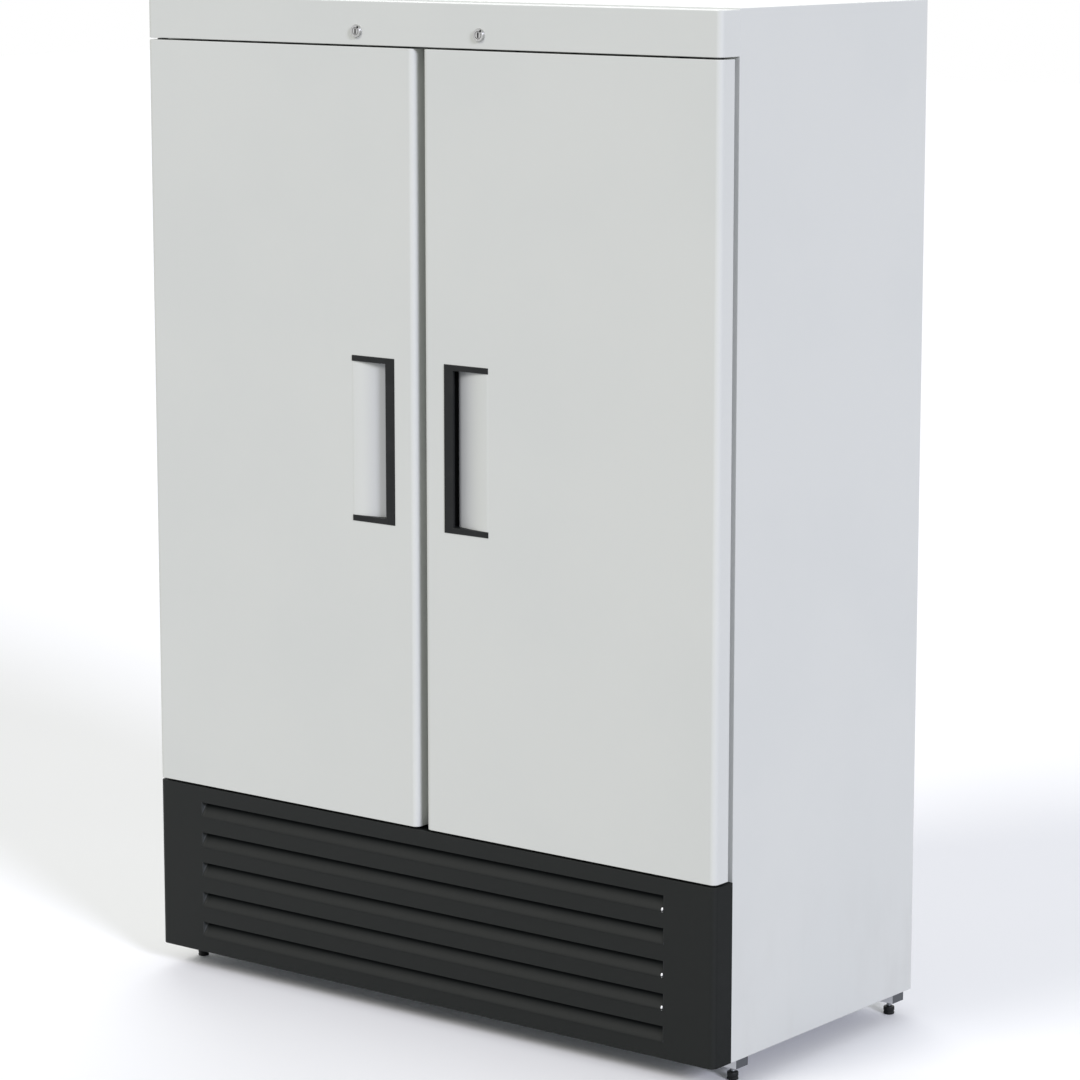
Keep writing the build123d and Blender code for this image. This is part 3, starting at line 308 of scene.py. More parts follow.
finishes = {
    "paint": whitePaint(), "scoop": whitePaint(inScoop=True), "charcoal": charcoalPaint(),
    "zinc": zincSteel(), "bracket": bracketSteel(),
    # pre-coated liner sheet, smoother and a touch cooler
    "liner": plain("linerWhite", (4, 3), ((222, 225, 225), (214, 218, 219)), (0.36, 0.08), (0.05, 0.5),
                   grain=(260, 2, 0.5)),
    # inner door panels
    "mould": plain("mouldedWhite", (14, 3), ((224, 226, 224), (215, 218, 217)), (0.3, 0.12), (0.02, 0.5),
                   grain=(700, 1)),
    # black moulded handle with a fine spark texture, smoother where hands rub it
    "grip": plain("blackHandlePlastic", (26, 3), ((21, 23, 23), (29, 30, 30)), (0.52, -0.1), (0.04, 0.8),
                  grain=(1500, 2, 0.6), edge=(0.45, 0.7), share=0.7, specular=0.22),
    # near black, painted as the shade inside a keyway, a groove and a dimple
    "shadeBlack": plain("paintedRecessShade", (300, 2), ((9, 9, 10), (20, 20, 20)), (0.6, 0), (0.02, 0.4), specular=0.2),
    # the frame behind the doors: grey coil-coated sheet with faint rolling marks; its grey, darker than the
    # doors, is partly painted shade for the gap between them
    "frame": plain("frameGreyPaint", (14, 4, 0.6, (6, 1, 0.4)), ((158, 161, 163), (142, 145, 148)),
                   (0.42, 0.12), (0.02, 0.5), grain=(500, 1), specular=0.35),
    # fans, shroud, tray, gland and control box
    "dull": plain("blackPolymer", (30, 4, 0.6, (1, 1, 4)), ((38, 39, 40), (50, 51, 52)), (0.42, 0.2),
                  (0.04, 0.6), grain=(900, 2)),
    # nickel plate with a few rub marks
    "lock": plain("nickelPlate", (420, 4, 0.7, (1, 1, 0.3)), ((190, 190, 188), (160, 160, 160)),
                  (0.24, 0.16), (0.02, 0.5), toneEdge=(0.4, 0.7), metallic=1.0),
    # soft grey vinyl of the door seals
    "seal": plain("sealVinyl", (120, 3), ((150, 153, 156), (134, 137, 140)), (0.55, 0.15), (0.03, 0.6),
                  grain=(1400, 1), specular=0.35),
    # thick white nylon on the shelf wires
    "wire": plain("shelfWireCoat", (90, 3), ((216, 218, 217), (204, 207, 207)), (0.3, 0.14), (0.08, 0.5),
                  coat=0.15, coatRoughness=0.3),
    # tarnished fins of both coils
    "fin": plain("finAluminium", (22, 4, 0.6), ((186, 189, 192), (150, 154, 158)), (0.36, 0.2), (0.02, 0.5),
                 grain=(700, 2, 0.5, (0.1, 1, 1)), metallic=0.95),
    # glossy black of the compressor and the motors
    "enamel": plain("blackEnamel", (45, 3), ((24, 25, 26), (34, 35, 36)), (0.22, 0.14), (0.2, 0.4),
                    coat=0.3, coatRoughness=0.15),
    # copper that browns in patches
    "copper": plain("copperPipe", (38, 4, 0.65), ((206, 130, 92), (140, 84, 60)), (0.26, 0.25), (0.03, 0.4),
                    edge=(0.4, 0.75), metallic=1.0),
    # hazy vinyl of the drain hose
    "hose": plain("drainHoseVinyl", (40, 3), ((188, 190, 188), (168, 171, 170)), (0.35, 0.15), (0.1, 0.4)),
    # frosted cover, a little lit from within
    "lamp": plain("frostedLampCover", (60, 2, 0.5, (6, 1, 1)), ((238, 240, 240), (224, 228, 230)),
                  (0.3, 0.1), (0.1, 0.4), glow=tone((240, 245, 250)), glowStrength=0.12),
    # heads on the base panel, painted near white as the bright glints at the louvres' right ends
    "stud": plain("paintedGlintStud", (600, 3), ((250, 250, 250), (232, 233, 234)), (0.25, 0.2), (0.02, 0.4),
                  metallic=0.3),
}
print("finishes:", len(finishes))


# shapes; each gives its points, in metres, and its faces

def gridFaces(rows, columns, closedRows=False, closedColumns=False):
    # the quads between neighbouring points of a grid of rows by columns
    r = np.arange(rows if closedRows else rows - 1)[:, None]
    c = np.arange(columns if closedColumns else columns - 1)[None, :]
    rNext = (r + 1) % rows
    cNext = (c + 1) % columns
    quads = np.stack(np.broadcast_arrays(r * columns + c, r * columns + cNext,
                                         rNext * columns + cNext, rNext * columns + c), axis=-1)
    return quads.reshape(-1, 4).tolist()


def tubeFaces(rings, sides, capped=True):
    # quads round the rings, and one many-sided face over the first ring and one over the last
    last = (rings - 1) * sides
    ends = [list(range(sides))[::-1], list(range(last, last + sides))]
    return gridFaces(rings, sides, closedColumns=True) + (ends if capped else [])


def circle(sides):
    # (cos a, sin a) at even steps
    angle = np.linspace(0, 2 * np.pi, sides, endpoint=False)
    return np.stack([np.cos(angle), np.sin(angle)], axis=1)


def quarter(steps):
    # even steps over a quarter turn
    return np.linspace(0, np.pi / 2, steps)


def ringOf(x, other, radius, sides=24):
    # a circle's outline about (x, other), in mm
    return np.array([x, other]) + radius * circle(sides)


def boxOf(x0, x1, y0, y1):
    # a rectangle's outline, in mm
    return [(x0, y0), (x1, y0), (x1, y1), (x0, y1)]


def surface(x, depth, height):
    # a grid of points from three arrays in mm that stretch to one shape
    grid = np.stack(np.broadcast_arrays(x, depth, height), axis=-1)
    return placed(grid.reshape(-1, 3)), gridFaces(*grid.shape[:2])


def turned(profile, centre, axis="y", sides=32, capped=True):
    # a lathe form: each point is radius times (cos a, sin a) across the axis, and its distance along it
    radius, along = np.array(profile, float).T[:, :, None]
    first, second = radius * circle(sides)[:, 0], radius * circle(sides)[:, 1]
    order = {"x": (along, first, second), "y": (second, along, first), "z": (first, second, along)}[axis]
    points = (np.stack(np.broadcast_arrays(*order), axis=-1) * mm + centre).reshape(-1, 3)
    # a ring profile comes back to its start and has no ends
    return points, tubeFaces(len(profile), sides, capped and profile[0] != profile[-1])


rodEnd = dict(rings=3, dish=0.6, lead=0.35)


def rod(start, end, radius, sides=8):
    # a straight bar with dished ends: the rings' radius follows the sine of a quarter turn, and their
    # distance from the end 1 minus that sine
    start, end = np.asarray(start, float), np.asarray(end, float)
    length = np.linalg.norm(end - start)
    way = (end - start) / length
    across = np.cross(way, [0, 0, 1.0] if abs(way[2]) < 0.9 else [1.0, 0, 0])
    across /= np.linalg.norm(across)
    bend = quarter(rodEnd["rings"])
    dish = radius * (1 - np.sin(bend)) * rodEnd["dish"]
    girth = radius * np.sin(bend + rodEnd["lead"]).clip(rodEnd["lead"], 1)
    lift = np.concatenate([dish, length - dish[::-1]])[:, None, None]
    width = np.concatenate([girth, girth[::-1]])[:, None, None]
    ring = circle(sides) @ np.array([across, np.cross(way, across)])
    points = start + lift * way + width * ring[None]
    # the ring turns with the way of the bar, so the ends face out
    return points.reshape(-1, 3), tubeFaces(len(lift), sides)


def looped(path, section, normal, mitreLimit=0.3):
    # a section carried round a closed flat path: path point + u times the outward side + v times the normal
    path = np.asarray(path, float)
    ahead = np.roll(path, -1, axis=0) - path
    ahead /= np.linalg.norm(ahead, axis=1)[:, None]
    behind = np.roll(ahead, 1, axis=0)
    normal = np.asarray(normal, float)
    sideAhead, sideBehind = np.cross(ahead, normal), np.cross(behind, normal)
    side = sideAhead + sideBehind
    side /= np.linalg.norm(side, axis=1)[:, None]
    side /= np.sum(side * sideAhead, axis=1)[:, None].clip(mitreLimit)
    section = np.asarray(section, float)
    points = path[:, None] + section[None, :, :1] * side[:, None] + section[None, :, 1:] * normal
    return points.reshape(-1, 3), gridFaces(len(path), len(section), True, True)


def tube(path, radius, sides=10):
    # a round pipe along an open path: rings across the path, turned with it, and closed ends
    path = np.asarray(path, float)
    way = np.gradient(path, axis=0)
    way /= np.linalg.norm(way, axis=1)[:, None]
    across = np.zeros_like(path)
    hint = np.array([0, 0, 1.0]) if abs(way[0][2]) < 0.9 else np.array([1.0, 0, 0])
    for i, w in enumerate(way):          # one frame per ring, carried along
        hint = hint - w * np.dot(hint, w)
        hint /= np.linalg.norm(hint)
        across[i] = hint
    cosines, sines = circle(sides).T[:, None, :, None]
    points = path[:, None] + radius * (cosines * across[:, None] + sines * np.cross(way, across)[:, None])
    return points.reshape(-1, 3), tubeFaces(len(path), sides)


def rounded(corners, radius, steps=6):
    # an open path through corners; each bend starts and ends radius away from its corner and is
    # (1 - t) squared times the start, 2 t (1 - t) times the corner and t squared times the end
    corners = [np.asarray(c, float) for c in corners]
    path = [corners[0]]
    t = np.linspace(0, 1, steps)[:, None]
    for before, corner, after in zip(corners, corners[1:], corners[2:]):
        start = corner + (before - corner) / np.linalg.norm(before - corner) * radius
        end = corner + (after - corner) / np.linalg.norm(after - corner) * radius
        path += list((1 - t) ** 2 * start + 2 * t * (1 - t) * corner + t ** 2 * end)
    path.append(corners[-1])
    return np.array(path)


def bar(low, high):
    # a plain block between two corners, whose edges a bevel rounds afterwards
    (x0, y0, z0), (x1, y1, z1) = low, high
    points = np.array([[x, y, z] for z in (z0, z1) for x, y in boxOf(x0, x1, y0, y1)])
    faces = [[3, 2, 1, 0], [4, 5, 6, 7], [0, 1, 5, 4], [1, 2, 6, 5], [2, 3, 7, 6], [3, 0, 4, 7]]
    return points, faces


def flatFace(loops):
    # a flat face with holes, cut into triangles; the first loop is the outline
    vectors = [[Vector(p) for p in loop] for loop in loops]
    points = np.array([list(p) for loop in vectors for p in loop])
    return points, [list(t) for t in tessellate_polygon(vectors)]


# from shapes to pieces

def linked(name, mesh):
    made = bpy.data.objects.new(name, mesh)
    bpy.context.scene.collection.objects.link(made)
    return made


def welded(mesh, near, flat=None):
    # joins points that lie near; then merges faces that are flat to an angle, or else turns faces out
    shape = bmesh.new()
    shape.from_mesh(mesh)
    bmesh.ops.remove_doubles(shape, verts=shape.verts, dist=near)
    if flat:
        bmesh.ops.dissolve_limit(shape, angle_limit=math.radians(flat), verts=shape.verts, edges=shape.edges)
    else:
        bmesh.ops.recalc_face_normals(shape, faces=shape.faces)
    shape.to_mesh(mesh)
    shape.free()


def piece(name, parts, finish, node=None, covers=True, body="cabinet", smooth=40, bevel=0.0, thickness=0.0,
          mirrorX=False, weld=True):
    # joins (points, faces) parts in one mesh; a CAD node gives it its body, and covers has it replaced
    allFaces, offset = [], 0
    for points, faces in parts:
        allFaces += [[i + offset for i in face] for face in faces]
        offset += len(points)
    coords = np.concatenate([points for points, faces in parts])
    if mirrorX:
        coords = coords * np.array([-1.0, 1.0, 1.0])
        allFaces = [face[::-1] for face in allFaces]
    mesh = bpy.data.meshes.new(name)
    mesh.from_pydata(coords.tolist(), [], allFaces)
    made = linked(name, mesh)
    if weld:
        welded(mesh, 1e-6)
    if node is None:
        return finishPiece(made, finish, body, (), smooth, bevel, thickness)
    replaced = [node] if covers else ()
    return finishPiece(made, finish, bodyOf[node], replaced, smooth, bevel, thickness)


def finishPiece(made, finish, body, covers, smooth, bevel, thickness):
    # smooths a mesh by angle, gives it its sheet and edges, and puts it on its body
    mesh = made.data
    mesh.materials.clear()
    mesh.materials.append(finishes[finish])
    mesh.polygons.foreach_set("use_smooth", [True] * len(mesh.polygons))
    mesh.set_sharp_from_angle(angle=math.radians(smooth))
    if thickness:
        fitted(made.modifiers.new("sheet", "SOLIDIFY"), thickness=thickness, offset=-1)
    if bevel:
        fitted(made.modifiers.new("edge", "BEVEL"), width=bevel, segments=2, limit_method="ANGLE",
               angle_limit=math.radians(smooth), harden_normals=True)
    # flat faces keep flat shading
    fitted(made.modifiers.new("even", "WEIGHTED_NORMAL"), weight=100, keep_sharp=True)
    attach(made, body)
    if covers:
        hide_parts(*covers)
    return made


def softened(name, finish, bevel, smooth=35):
    # a CAD node's own shape, welded and with its hard edges rounded
    mesh = nodes[name].data.copy()
    welded(mesh, 2e-6, flat=0.5)
    made = linked(name + "Dressed", mesh)
    return finishPiece(made, finish, bodyOf[name], [name], smooth, bevel, 0)


# cabinet: the nodes whose own shape shows, each with its finish and the width of its rounded edges in mm

cabinetLooks = {
    "left_wall": ("paint", 1.0), "right_wall": ("paint", 1.0), "back_panel": ("paint", 0.8),
    "roof_panel": ("paint", 0.8), "header_beam": ("frame", 1.2), "centre_mullion": ("frame", 1.2),
    "upper_hinges": ("zinc", 0.5), "lower_hinges": ("zinc", 0.5),
    "lock_barrel_left": ("lock", 0.25), "lock_barrel_right": ("lock", 0.25),
    "foot_brackets": ("bracket", 0.4), "right_door_handle": ("grip", 0.7), "left_door_handle": ("grip", 0.7),
    "right_door_liner": ("mould", 1.0), "left_door_liner": ("mould", 1.0),
    "shelf_strips": ("zinc", 0.3), "shelf_clips": ("zinc", 0.4), "evaporator_housing": ("liner", 0.6),
    "interior_lamps": ("lamp", 0.8), "control_box": ("dull", 1.0),
    "base_pan": ("zinc", 0.4), "rear_vent_panel": ("zinc", 0.3), "evaporation_tray": ("dull", 0.6),
    "fan_shroud": ("dull", 0.6),
}
asTheyAre = {
    "floor_panel": "frame", "inner_liner": "liner", "left_door_bushes": "dull", "right_door_bushes": "dull",
}
fitting = dict(plugFace=-4.6,               # the plug sits a touch behind the rim of its bezel
               flange=(-15.5, -21.5))       # of a bracket: what lies below the first goes to the second


def refit(made, change):
    # lets change work on the array of a piece's points
    coords = np.empty(len(made.data.vertices) * 3)
    made.data.vertices.foreach_get("co", coords)
    change(coords.reshape(-1, 3))
    made.data.vertices.foreach_set("co", coords)


def pushPlug(points):
    points[:, 1] = points[:, 1].clip(doorPlane + fitting["plugFace"] * mm)


def lowerFlanges(points):
    below, reached = (footHeight + height * mm for height in fitting["flange"])
    points[points[:, 2] < below, 2] = reached


for nodeName, (finishName, edge) in cabinetLooks.items():
    made = softened(nodeName, finishName, edge * mm)
    if nodeName.startswith("lock_barrel"):
        refit(made, pushPlug)
    if nodeName == "foot_brackets":
        refit(made, lowerFlanges)
for nodeName, finishName in asTheyAre.items():
    nodes[nodeName].data.materials.clear()
    nodes[nodeName].data.materials.append(finishes[finishName])
print("cabinet")


# folded sheets: doors, fascia and base panel

# a pan is its two sides in x, its depth, its foot and its top
sheetFold = dict(corner=12.0, cornerSteps=9, bend=1.4, bendSteps=4)


def sheetPan(x0, x1, depth, low, high, windows, topHoles, bottomHoles):
    # plan outline: side, quarter circle, front, quarter circle, side; each height gives it an inset,
    # and the inset follows a quarter circle over the bends at the top and the foot
    corner, bend = sheetFold["corner"], sheetFold["bend"]
    turn = quarter(sheetFold["cornerSteps"])
    leftArc = np.stack([x0 + corner * (1 - np.sin(turn)), corner * (1 - np.cos(turn))], axis=1)[::-1]
    rightArc = np.stack([x1 - corner * (1 - np.sin(turn)), corner * (1 - np.cos(turn))], axis=1)
    outline = np.concatenate([[[x0, depth]], leftArc, rightArc, [[x1, depth]]])
    leftIn = np.stack([np.sin(turn), np.cos(turn)], axis=1)[::-1]
    rightIn = np.stack([-np.sin(turn), np.cos(turn)], axis=1)
    inward = np.concatenate([[[1, 0]], leftIn, rightIn, [[-1, 0]]])
    rise = quarter(sheetFold["bendSteps"])
    insets = np.concatenate([bend * (1 - np.cos(rise))[::-1], bend * (1 - np.cos(rise))])
    heights = np.concatenate([low + bend * (1 - np.sin(rise))[::-1], high - bend * (1 - np.sin(rise))])
    plan = outline[None] + insets[:, None, None] * inward[None]
    points, faces = surface(plan[..., 0], plan[..., 1], heights[:, None])
    rows, columns = plan.shape[:2]
    # the flat front, between the two arcs and the two bends, is cut out for its windows
    front = (sheetFold["bendSteps"] - 1) * columns + sheetFold["cornerSteps"]
    parts = [(points, [face for face in faces if face[0] != front])]
    rim = upright(boxOf(x0 + corner, x1 - corner, low + bend, high - bend))
    parts.append(flatFace([placed(rim)] + [placed(hole) for hole in windows]))
    for row, holes in ((0, bottomHoles), (rows - 1, topHoles)):
        loops = [plan[row]] + list(holes)
        parts.append(flatFace([placed([(x, d, heights[row]) for x, d in loop]) for loop in loops]))
    return parts


def upright(outline):
    # an outline in x and height, set in the plane of the door fronts
    return [(x, 0, height) for x, height in outline]


door = dict(
    pan=(11.0, 700.0, 41.0, 350.8, 1854.4), sheet=0.9, handle=(61.7, 168.7, 940.85, 1264.35),
    gripEdge=84.2, arm=11.5, scoopDepth=16.5, scoopPower=1.5, scoopSteps=26, scoopSheet=0.8,
    hinge=(678.0, 22.0), bushHole=8.3, lockSlot=(140.0, 190.5, 19.0, 27.5),
)


def scoopFloor():
    # leaves the door's front smoothly: depth grows with the power 1.5 of the way in to the grip
    end, low, high = door["handle"][1:]
    edge, arm = door["gripEdge"], door["arm"]
    x = np.linspace(end, edge, door["scoopSteps"])
    depth = door["scoopDepth"] * ((end - x) / (end - edge)) ** door["scoopPower"]
    return surface(x, depth, np.array([[low + arm], [high - arm]]))


def hingeRings(radius):
    # a circle at the hinge of each door
    x, depth = door["hinge"]
    return [ringOf(-x, depth, radius), ringOf(x, depth, radius)]


halves = (("right", False), ("left", True))      # the left half mirrors the right one
for side, flip in halves:
    bush = ringOf(*door["hinge"], door["bushHole"])
    skin = sheetPan(*door["pan"], [upright(boxOf(*door["handle"]))], [bush, boxOf(*door["lockSlot"])], [bush])
    node = side + "_door_skin"
    piece(side + "DoorSkin", skin, "paint", node, thickness=door["sheet"] * mm, mirrorX=flip)
    piece(side + "DoorScoop", [scoopFloor()], "scoop", node, covers=False,
          thickness=door["scoopSheet"] * mm, mirrorX=flip, smooth=60)
print("doors")

fascia = dict(
    pan=(-700.0, 700.0, 56.5, 1858.0, 1941.0), sheet=1.1,
    lock=(150.0, 1884.0), lockHole=9.7, pinHole=6.5,
)
lockX, lockHeight = fascia["lock"]
lockHoles = [upright(ringOf(x, lockHeight, fascia["lockHole"])) for x in (-lockX, lockX)]
x0, x1, d0, d1 = door["lockSlot"]
under = [boxOf(x0, x1, d0, d1), boxOf(-x1, -x0, d0, d1)] + hingeRings(fascia["pinHole"])
fasciaParts = sheetPan(*fascia["pan"], lockHoles, [], under)
piece("fasciaSheet", fasciaParts, "paint", "top_fascia", thickness=fascia["sheet"] * mm)

louvre = dict(
    pan=(-700.0, 700.0, 56.5, 0, 346.5), pitch=62.89, firstTop=314.6, drop=31.44, half=585.0,
    count=5, deep=17.0, ease=2.5, riseSteps=18, risePower=1.6,
    endRound=8.0, endSteps=7, middle=560.0, middleSteps=9, collarHole=9.5,
    studX=580.5, studDrop=28.5, studRows=(0, 2, 3), studStretch=(1, 1, 1.6),
    stud=((0.05, -0.9), (1.8, -0.6), (2.8, 0.1), (3.1, 1.0), (3.1, 5.0)),
)


def louvreScoop(top):
    # blade depth: a straight slope in height that eases in at its foot as 1 - exp(-rise / ease) does;
    # at both ends it rises along a quarter circle
    half, ease, endRound, middle = louvre["half"], louvre["ease"], louvre["endRound"], louvre["middle"]
    rise = louvre["drop"] * np.linspace(0, 1, louvre["riseSteps"]) ** louvre["risePower"]
    depth = rise - ease * (1 - np.exp(-rise / ease))
    depth *= louvre["deep"] / depth[-1]
    near = endRound * (1 - np.cos(quarter(louvre["endSteps"])))
    between = np.linspace(-middle, middle, louvre["middleSteps"])
    x = np.concatenate([-half + near, between, (half - near)[::-1]])
    share = ((half - np.abs(x)) / endRound).clip(0, 1)
    bulge = np.sqrt(1 - (1 - share) ** 2)
    return surface(x[:, None], bulge[:, None] * depth, top - louvre["drop"] + rise)


tops = [louvre["firstTop"] - louvre["pitch"] * row for row in range(louvre["count"])]
windows = [upright(boxOf(-louvre["half"], louvre["half"], top - louvre["drop"], top)) for top in tops]
baseParts = sheetPan(*louvre["pan"], windows, hingeRings(louvre["collarHole"]), [])
piece("basePanelSheet", baseParts, "charcoal", "louvre_panel", thickness=fascia["sheet"] * mm)
piece("louvreBlades", [louvreScoop(top) for top in tops], "charcoal", "louvre_panel", covers=False,
      thickness=fascia["sheet"] * mm, smooth=50)
# the heads' lens shape, stretched taller than wide, follows the glints they are painted as
studs = []      # a little taller than wide
for row in louvre["studRows"]:
    centre = at(louvre["studX"], 0, tops[row] - louvre["studDrop"])
    points, faces = turned(louvre["stud"], centre, "y", 16)
    studs.append(((points - centre) * np.array(louvre["studStretch"]) + centre, faces))
piece("grilleStuds", studs, "stud")
print("folded sheets")


# door seals

seal = dict(
    middle=(29.0, 667.0, 368.8, 1836.4), start=41.0,
    section=((-4, 0), (4, 0), (4.2, 2.6), (7.8, 4.2), (5.4, 6.8), (7.8, 9.4), (7.2, 10.8), (9.4, 11.2),
             (10, 11.9), (10, 14.4), (9.3, 15.1), (-9.3, 15.1), (-10, 14.4), (-10, 11.9), (-9.4, 11.2),
             (-7.2, 10.8), (-7.8, 9.4), (-5.4, 6.8), (-7.8, 4.2), (-4.2, 2.6)),
)


def sealRing():
    # the section, across and behind the liner, goes round the rectangle of the seal's middle line
    path = placed([(x, seal["start"], height) for x, height in boxOf(*seal["middle"])])
    return looped(path, np.array(seal["section"]) * mm, (0, 1, 0))


for side, flip in halves:
    piece(side + "DoorSeal", [sealRing()], "seal", side + "_door_gasket", mirrorX=flip, smooth=50)
print("seals")


# wire shelves

shelf = dict(
    inner=14.0, outer=641.0, front=115.0, back=604.0, levels=(640.0, 902.0, 1164.0, 1426.0),
    corner=8.0, cornerSteps=5, rimSides=10,
    rimRadius=2.6, wireRadius=1.6, wires=30, barRadius=2.4, bars=(0.06, 0.35, 0.65, 0.94),
)


def shelfWires(level):
    # rim: a tube round a rounded rectangle; then wires from front to back and bars across beneath
    rim, wire, under, corner = shelf["rimRadius"], shelf["wireRadius"], shelf["barRadius"], shelf["corner"]
    x0, x1 = shelf["inner"] + rim, shelf["outer"] - rim
    d0, d1 = shelf["front"] + rim, shelf["back"] - rim
    path = []
    for (x, d), start, (signX, signD) in zip(boxOf(x0, x1, d0, d1), (180, 270, 0, 90), boxOf(1, -1, 1, -1)):
        for turn in np.radians(start + np.linspace(0, 90, shelf["cornerSteps"])):
            path.append((x + corner * (signX + math.cos(turn)), d + corner * (signD + math.sin(turn)),
                         level - rim))
    parts = [looped(placed(path), circle(shelf["rimSides"]) * rim * mm, (0, 0, 1))]
    for x in np.linspace(x0, x1, shelf["wires"] + 2)[1:-1]:
        parts.append(rod(at(x, d0, level - wire), at(x, d1, level - wire), wire * mm))
    height = level - 2 * wire - under
    for share in shelf["bars"]:
        depth = d0 + (d1 - d0) * share
        parts.append(rod(at(x0, depth, height), at(x1, depth, height), under * mm, 10))
    return parts


for tier, level in enumerate(shelf["levels"], start=1):
    for side, flip in halves:
        piece(f"{side}Shelf{tier}", shelfWires(level), "wire", f"{side}_shelf_{tier}",
              mirrorX=flip, weld=False)
print("shelves")


# fans

fans = dict(
    cooler=dict(radius=51.5, hub=16.0, start=338.0, deep=18.0, x=165.0, height=1811.5),
    condenser=dict(radius=89.5, hub=24.0, start=156.0, deep=26.0, x=370.0, height=159.9),
)
blade = dict(count=5, rows=8, columns=9, spread=(52, -14), climb=(0.86, -0.3), camber=2.0,
             sweep=0.35, root=1.0, sheet=1.4)
hub = dict(nose=((0.7, 0.3), (0.95, 1.6), (1.0, 3.4)), edge=1.0, shaftRadius=3.0, shaft=16.0)
fanSet = (("evaporatorFanRight", "cooler", 1, "evaporator_fan_right"),
          ("evaporatorFanLeft", "cooler", -1, "evaporator_fan_left"),
          ("condenserFan", "condenser", 1, "condenser_fan"))


def fanBlades(look, x):
    # a blade point lies at radius r; its angle sweeps back with r squared, and across the chord
    # it climbs along the axle while its angle grows, with a little camber
    radius = np.linspace(look["hub"] - blade["root"], look["radius"], blade["rows"])[:, None]
    chord = np.linspace(-0.5, 0.5, blade["columns"])[None, :]
    share = (radius - look["hub"]) / (look["radius"] - look["hub"])
    spread = np.radians(blade["spread"][0] + blade["spread"][1] * share)
    climb = look["deep"] * (blade["climb"][0] + blade["climb"][1] * share)
    along = look["start"] + look["deep"] / 2 + climb * chord + blade["camber"] * (0.25 - chord ** 2)
    parts = []
    for turn in range(blade["count"]):
        angle = 2 * np.pi * turn / blade["count"] + spread * chord + blade["sweep"] * share ** 2
        parts.append(surface(x + radius * np.cos(angle), along, look["height"] + radius * np.sin(angle)))
    return parts


def fanHub(look, x):
    # a rounded nose, whose radii are shares of the hub's, then the wall and the shaft
    radius, start, end = look["hub"], look["start"], look["start"] + look["deep"]
    nose = [(radius * share, start + along) for share, along in hub["nose"]]
    tail = [(radius, end - hub["edge"]), (radius - hub["edge"], end), (hub["shaftRadius"], end),
            (hub["shaftRadius"], end + hub["shaft"])]
    return turned([(pole, nose[0][1])] + nose + tail, at(x, 0, look["height"]), "y", 28)


for name, kind, sign, node in fanSet:
    look = fans[kind]
    x = sign * look["x"]
    piece(name + "Blades", fanBlades(look, x), "dull", node, thickness=blade["sheet"] * mm, smooth=60)
    piece(name + "Hub", [fanHub(look, x)], "dull", node, covers=False)

guard = dict(depth=328.0, spokeDepth=329.2, wire=1.0, rings=(14, 24, 34, 44, 55), spokes=6, reach=58)
guardParts = []
for sign in (-1, 1):
    x, height = sign * fans["cooler"]["x"], fans["cooler"]["height"]
    for radius in guard["rings"]:
        path = placed([(px, guard["depth"], ph) for px, ph in ringOf(x, height, radius, 36)])
        guardParts.append(looped(path, circle(6) * guard["wire"] * mm, (0, 1, 0)))
    for endX, endHeight in ringOf(x, height, guard["reach"], guard["spokes"]):
        guardParts.append(rod(at(x, guard["spokeDepth"], height), at(endX, guard["spokeDepth"], endHeight),
                              guard["wire"] * mm, 6))
piece("coolerFanGuards", guardParts, "zinc", weld=False)
print("fans")


# feet, gland and screws; a profile is radius over height or depth, in mm

foot = dict(
    x=676.0, depths=dict(front=96.0, rear=630.0),
    knob=((pole, -45), (9.6, -45), (10.9, -44), (11, -41), (10.1, -39.8), (10.1, -38), (11, -36.8),
          (11, -31), (10.2, -29.6), (6.4, -28.8), (6.0, -27.2), (pole, -27.2)),
    stemLow=-27.6, stemTop=15.0, threadStart=-27.4, halfPitch=0.8, threadRadii=(4.8, 4.4),
)


def stemProfile():
    # threaded stem: the radius steps in and out at each half pitch
    turns = np.arange(foot["threadStart"], foot["stemTop"], foot["halfPitch"])
    thread = [(foot["threadRadii"][i % 2], height) for i, height in enumerate(turns)]
    return [(pole, foot["stemLow"])] + thread + [(pole, foot["stemTop"])]


for end, depth in foot["depths"].items():
    for side, sign in (("left", -1), ("right", 1)):
        place = at(sign * foot["x"], depth, 0)
        name, node = end + side.capitalize(), f"foot_{end}_{side}"
        piece(name + "Foot", [turned(foot["knob"], place, "z", 18)], "grip", node, smooth=30)
        piece(name + "Stem", [turned(stemProfile(), place, "z", 16)], "zinc", node, covers=False, smooth=30)

gland = dict(
    x=-540.0, height=90.0, bore=4.5, start=655.2, end=669.2,
    flange=[(9.8, 655.2), (9.8, 656.2), (13, 656.2), (13, 660.6), (12.4, 661.2), (10, 661.2)],
    ribs=6, ribRadii=(10, 9.5), ribStart=661.8, ribPitch=0.9, nose=[(8.6, 667.4), (6.4, 668.9)],
)
ribs = [(gland["ribRadii"][i % 2], gland["ribStart"] + gland["ribPitch"] * i) for i in range(gland["ribs"])]
throat = [(gland["bore"], gland["end"]), (gland["bore"], gland["start"])]
glandProfile = throat[1:] + gland["flange"] + ribs + gland["nose"] + throat
glandParts = [turned(glandProfile, at(gland["x"], 0, gland["height"]), "y", 24)]
piece("cableGland", glandParts, "dull", "cable_gland")

screw = dict(heights=(322.0, 12.0), count=8, reach=630.0, depth=656.2, radius=4.0, proud=2.2,
             shares=(0.02, 0.35, 0.6, 0.8, 0.95, 1.0), fall=0.75, sides=14)


def screwProfile():
    # a low dome: height falls off with the square of the radius, and the rim goes down to the sheet
    radius, proud, fall = screw["radius"], screw["proud"], screw["fall"]
    return [(radius * share, proud * (1 - share ** 2 * fall)) for share in screw["shares"]] + [(radius, 0)]


screws = [turned(screwProfile(), at(x, screw["depth"], height), "y", screw["sides"])
          for height in screw["heights"]
          for x in np.linspace(-screw["reach"], screw["reach"], screw["count"])]
piece("rearPanelScrews", screws, "zinc", weld=False)
print("small parts")


# machinery and cooling unit

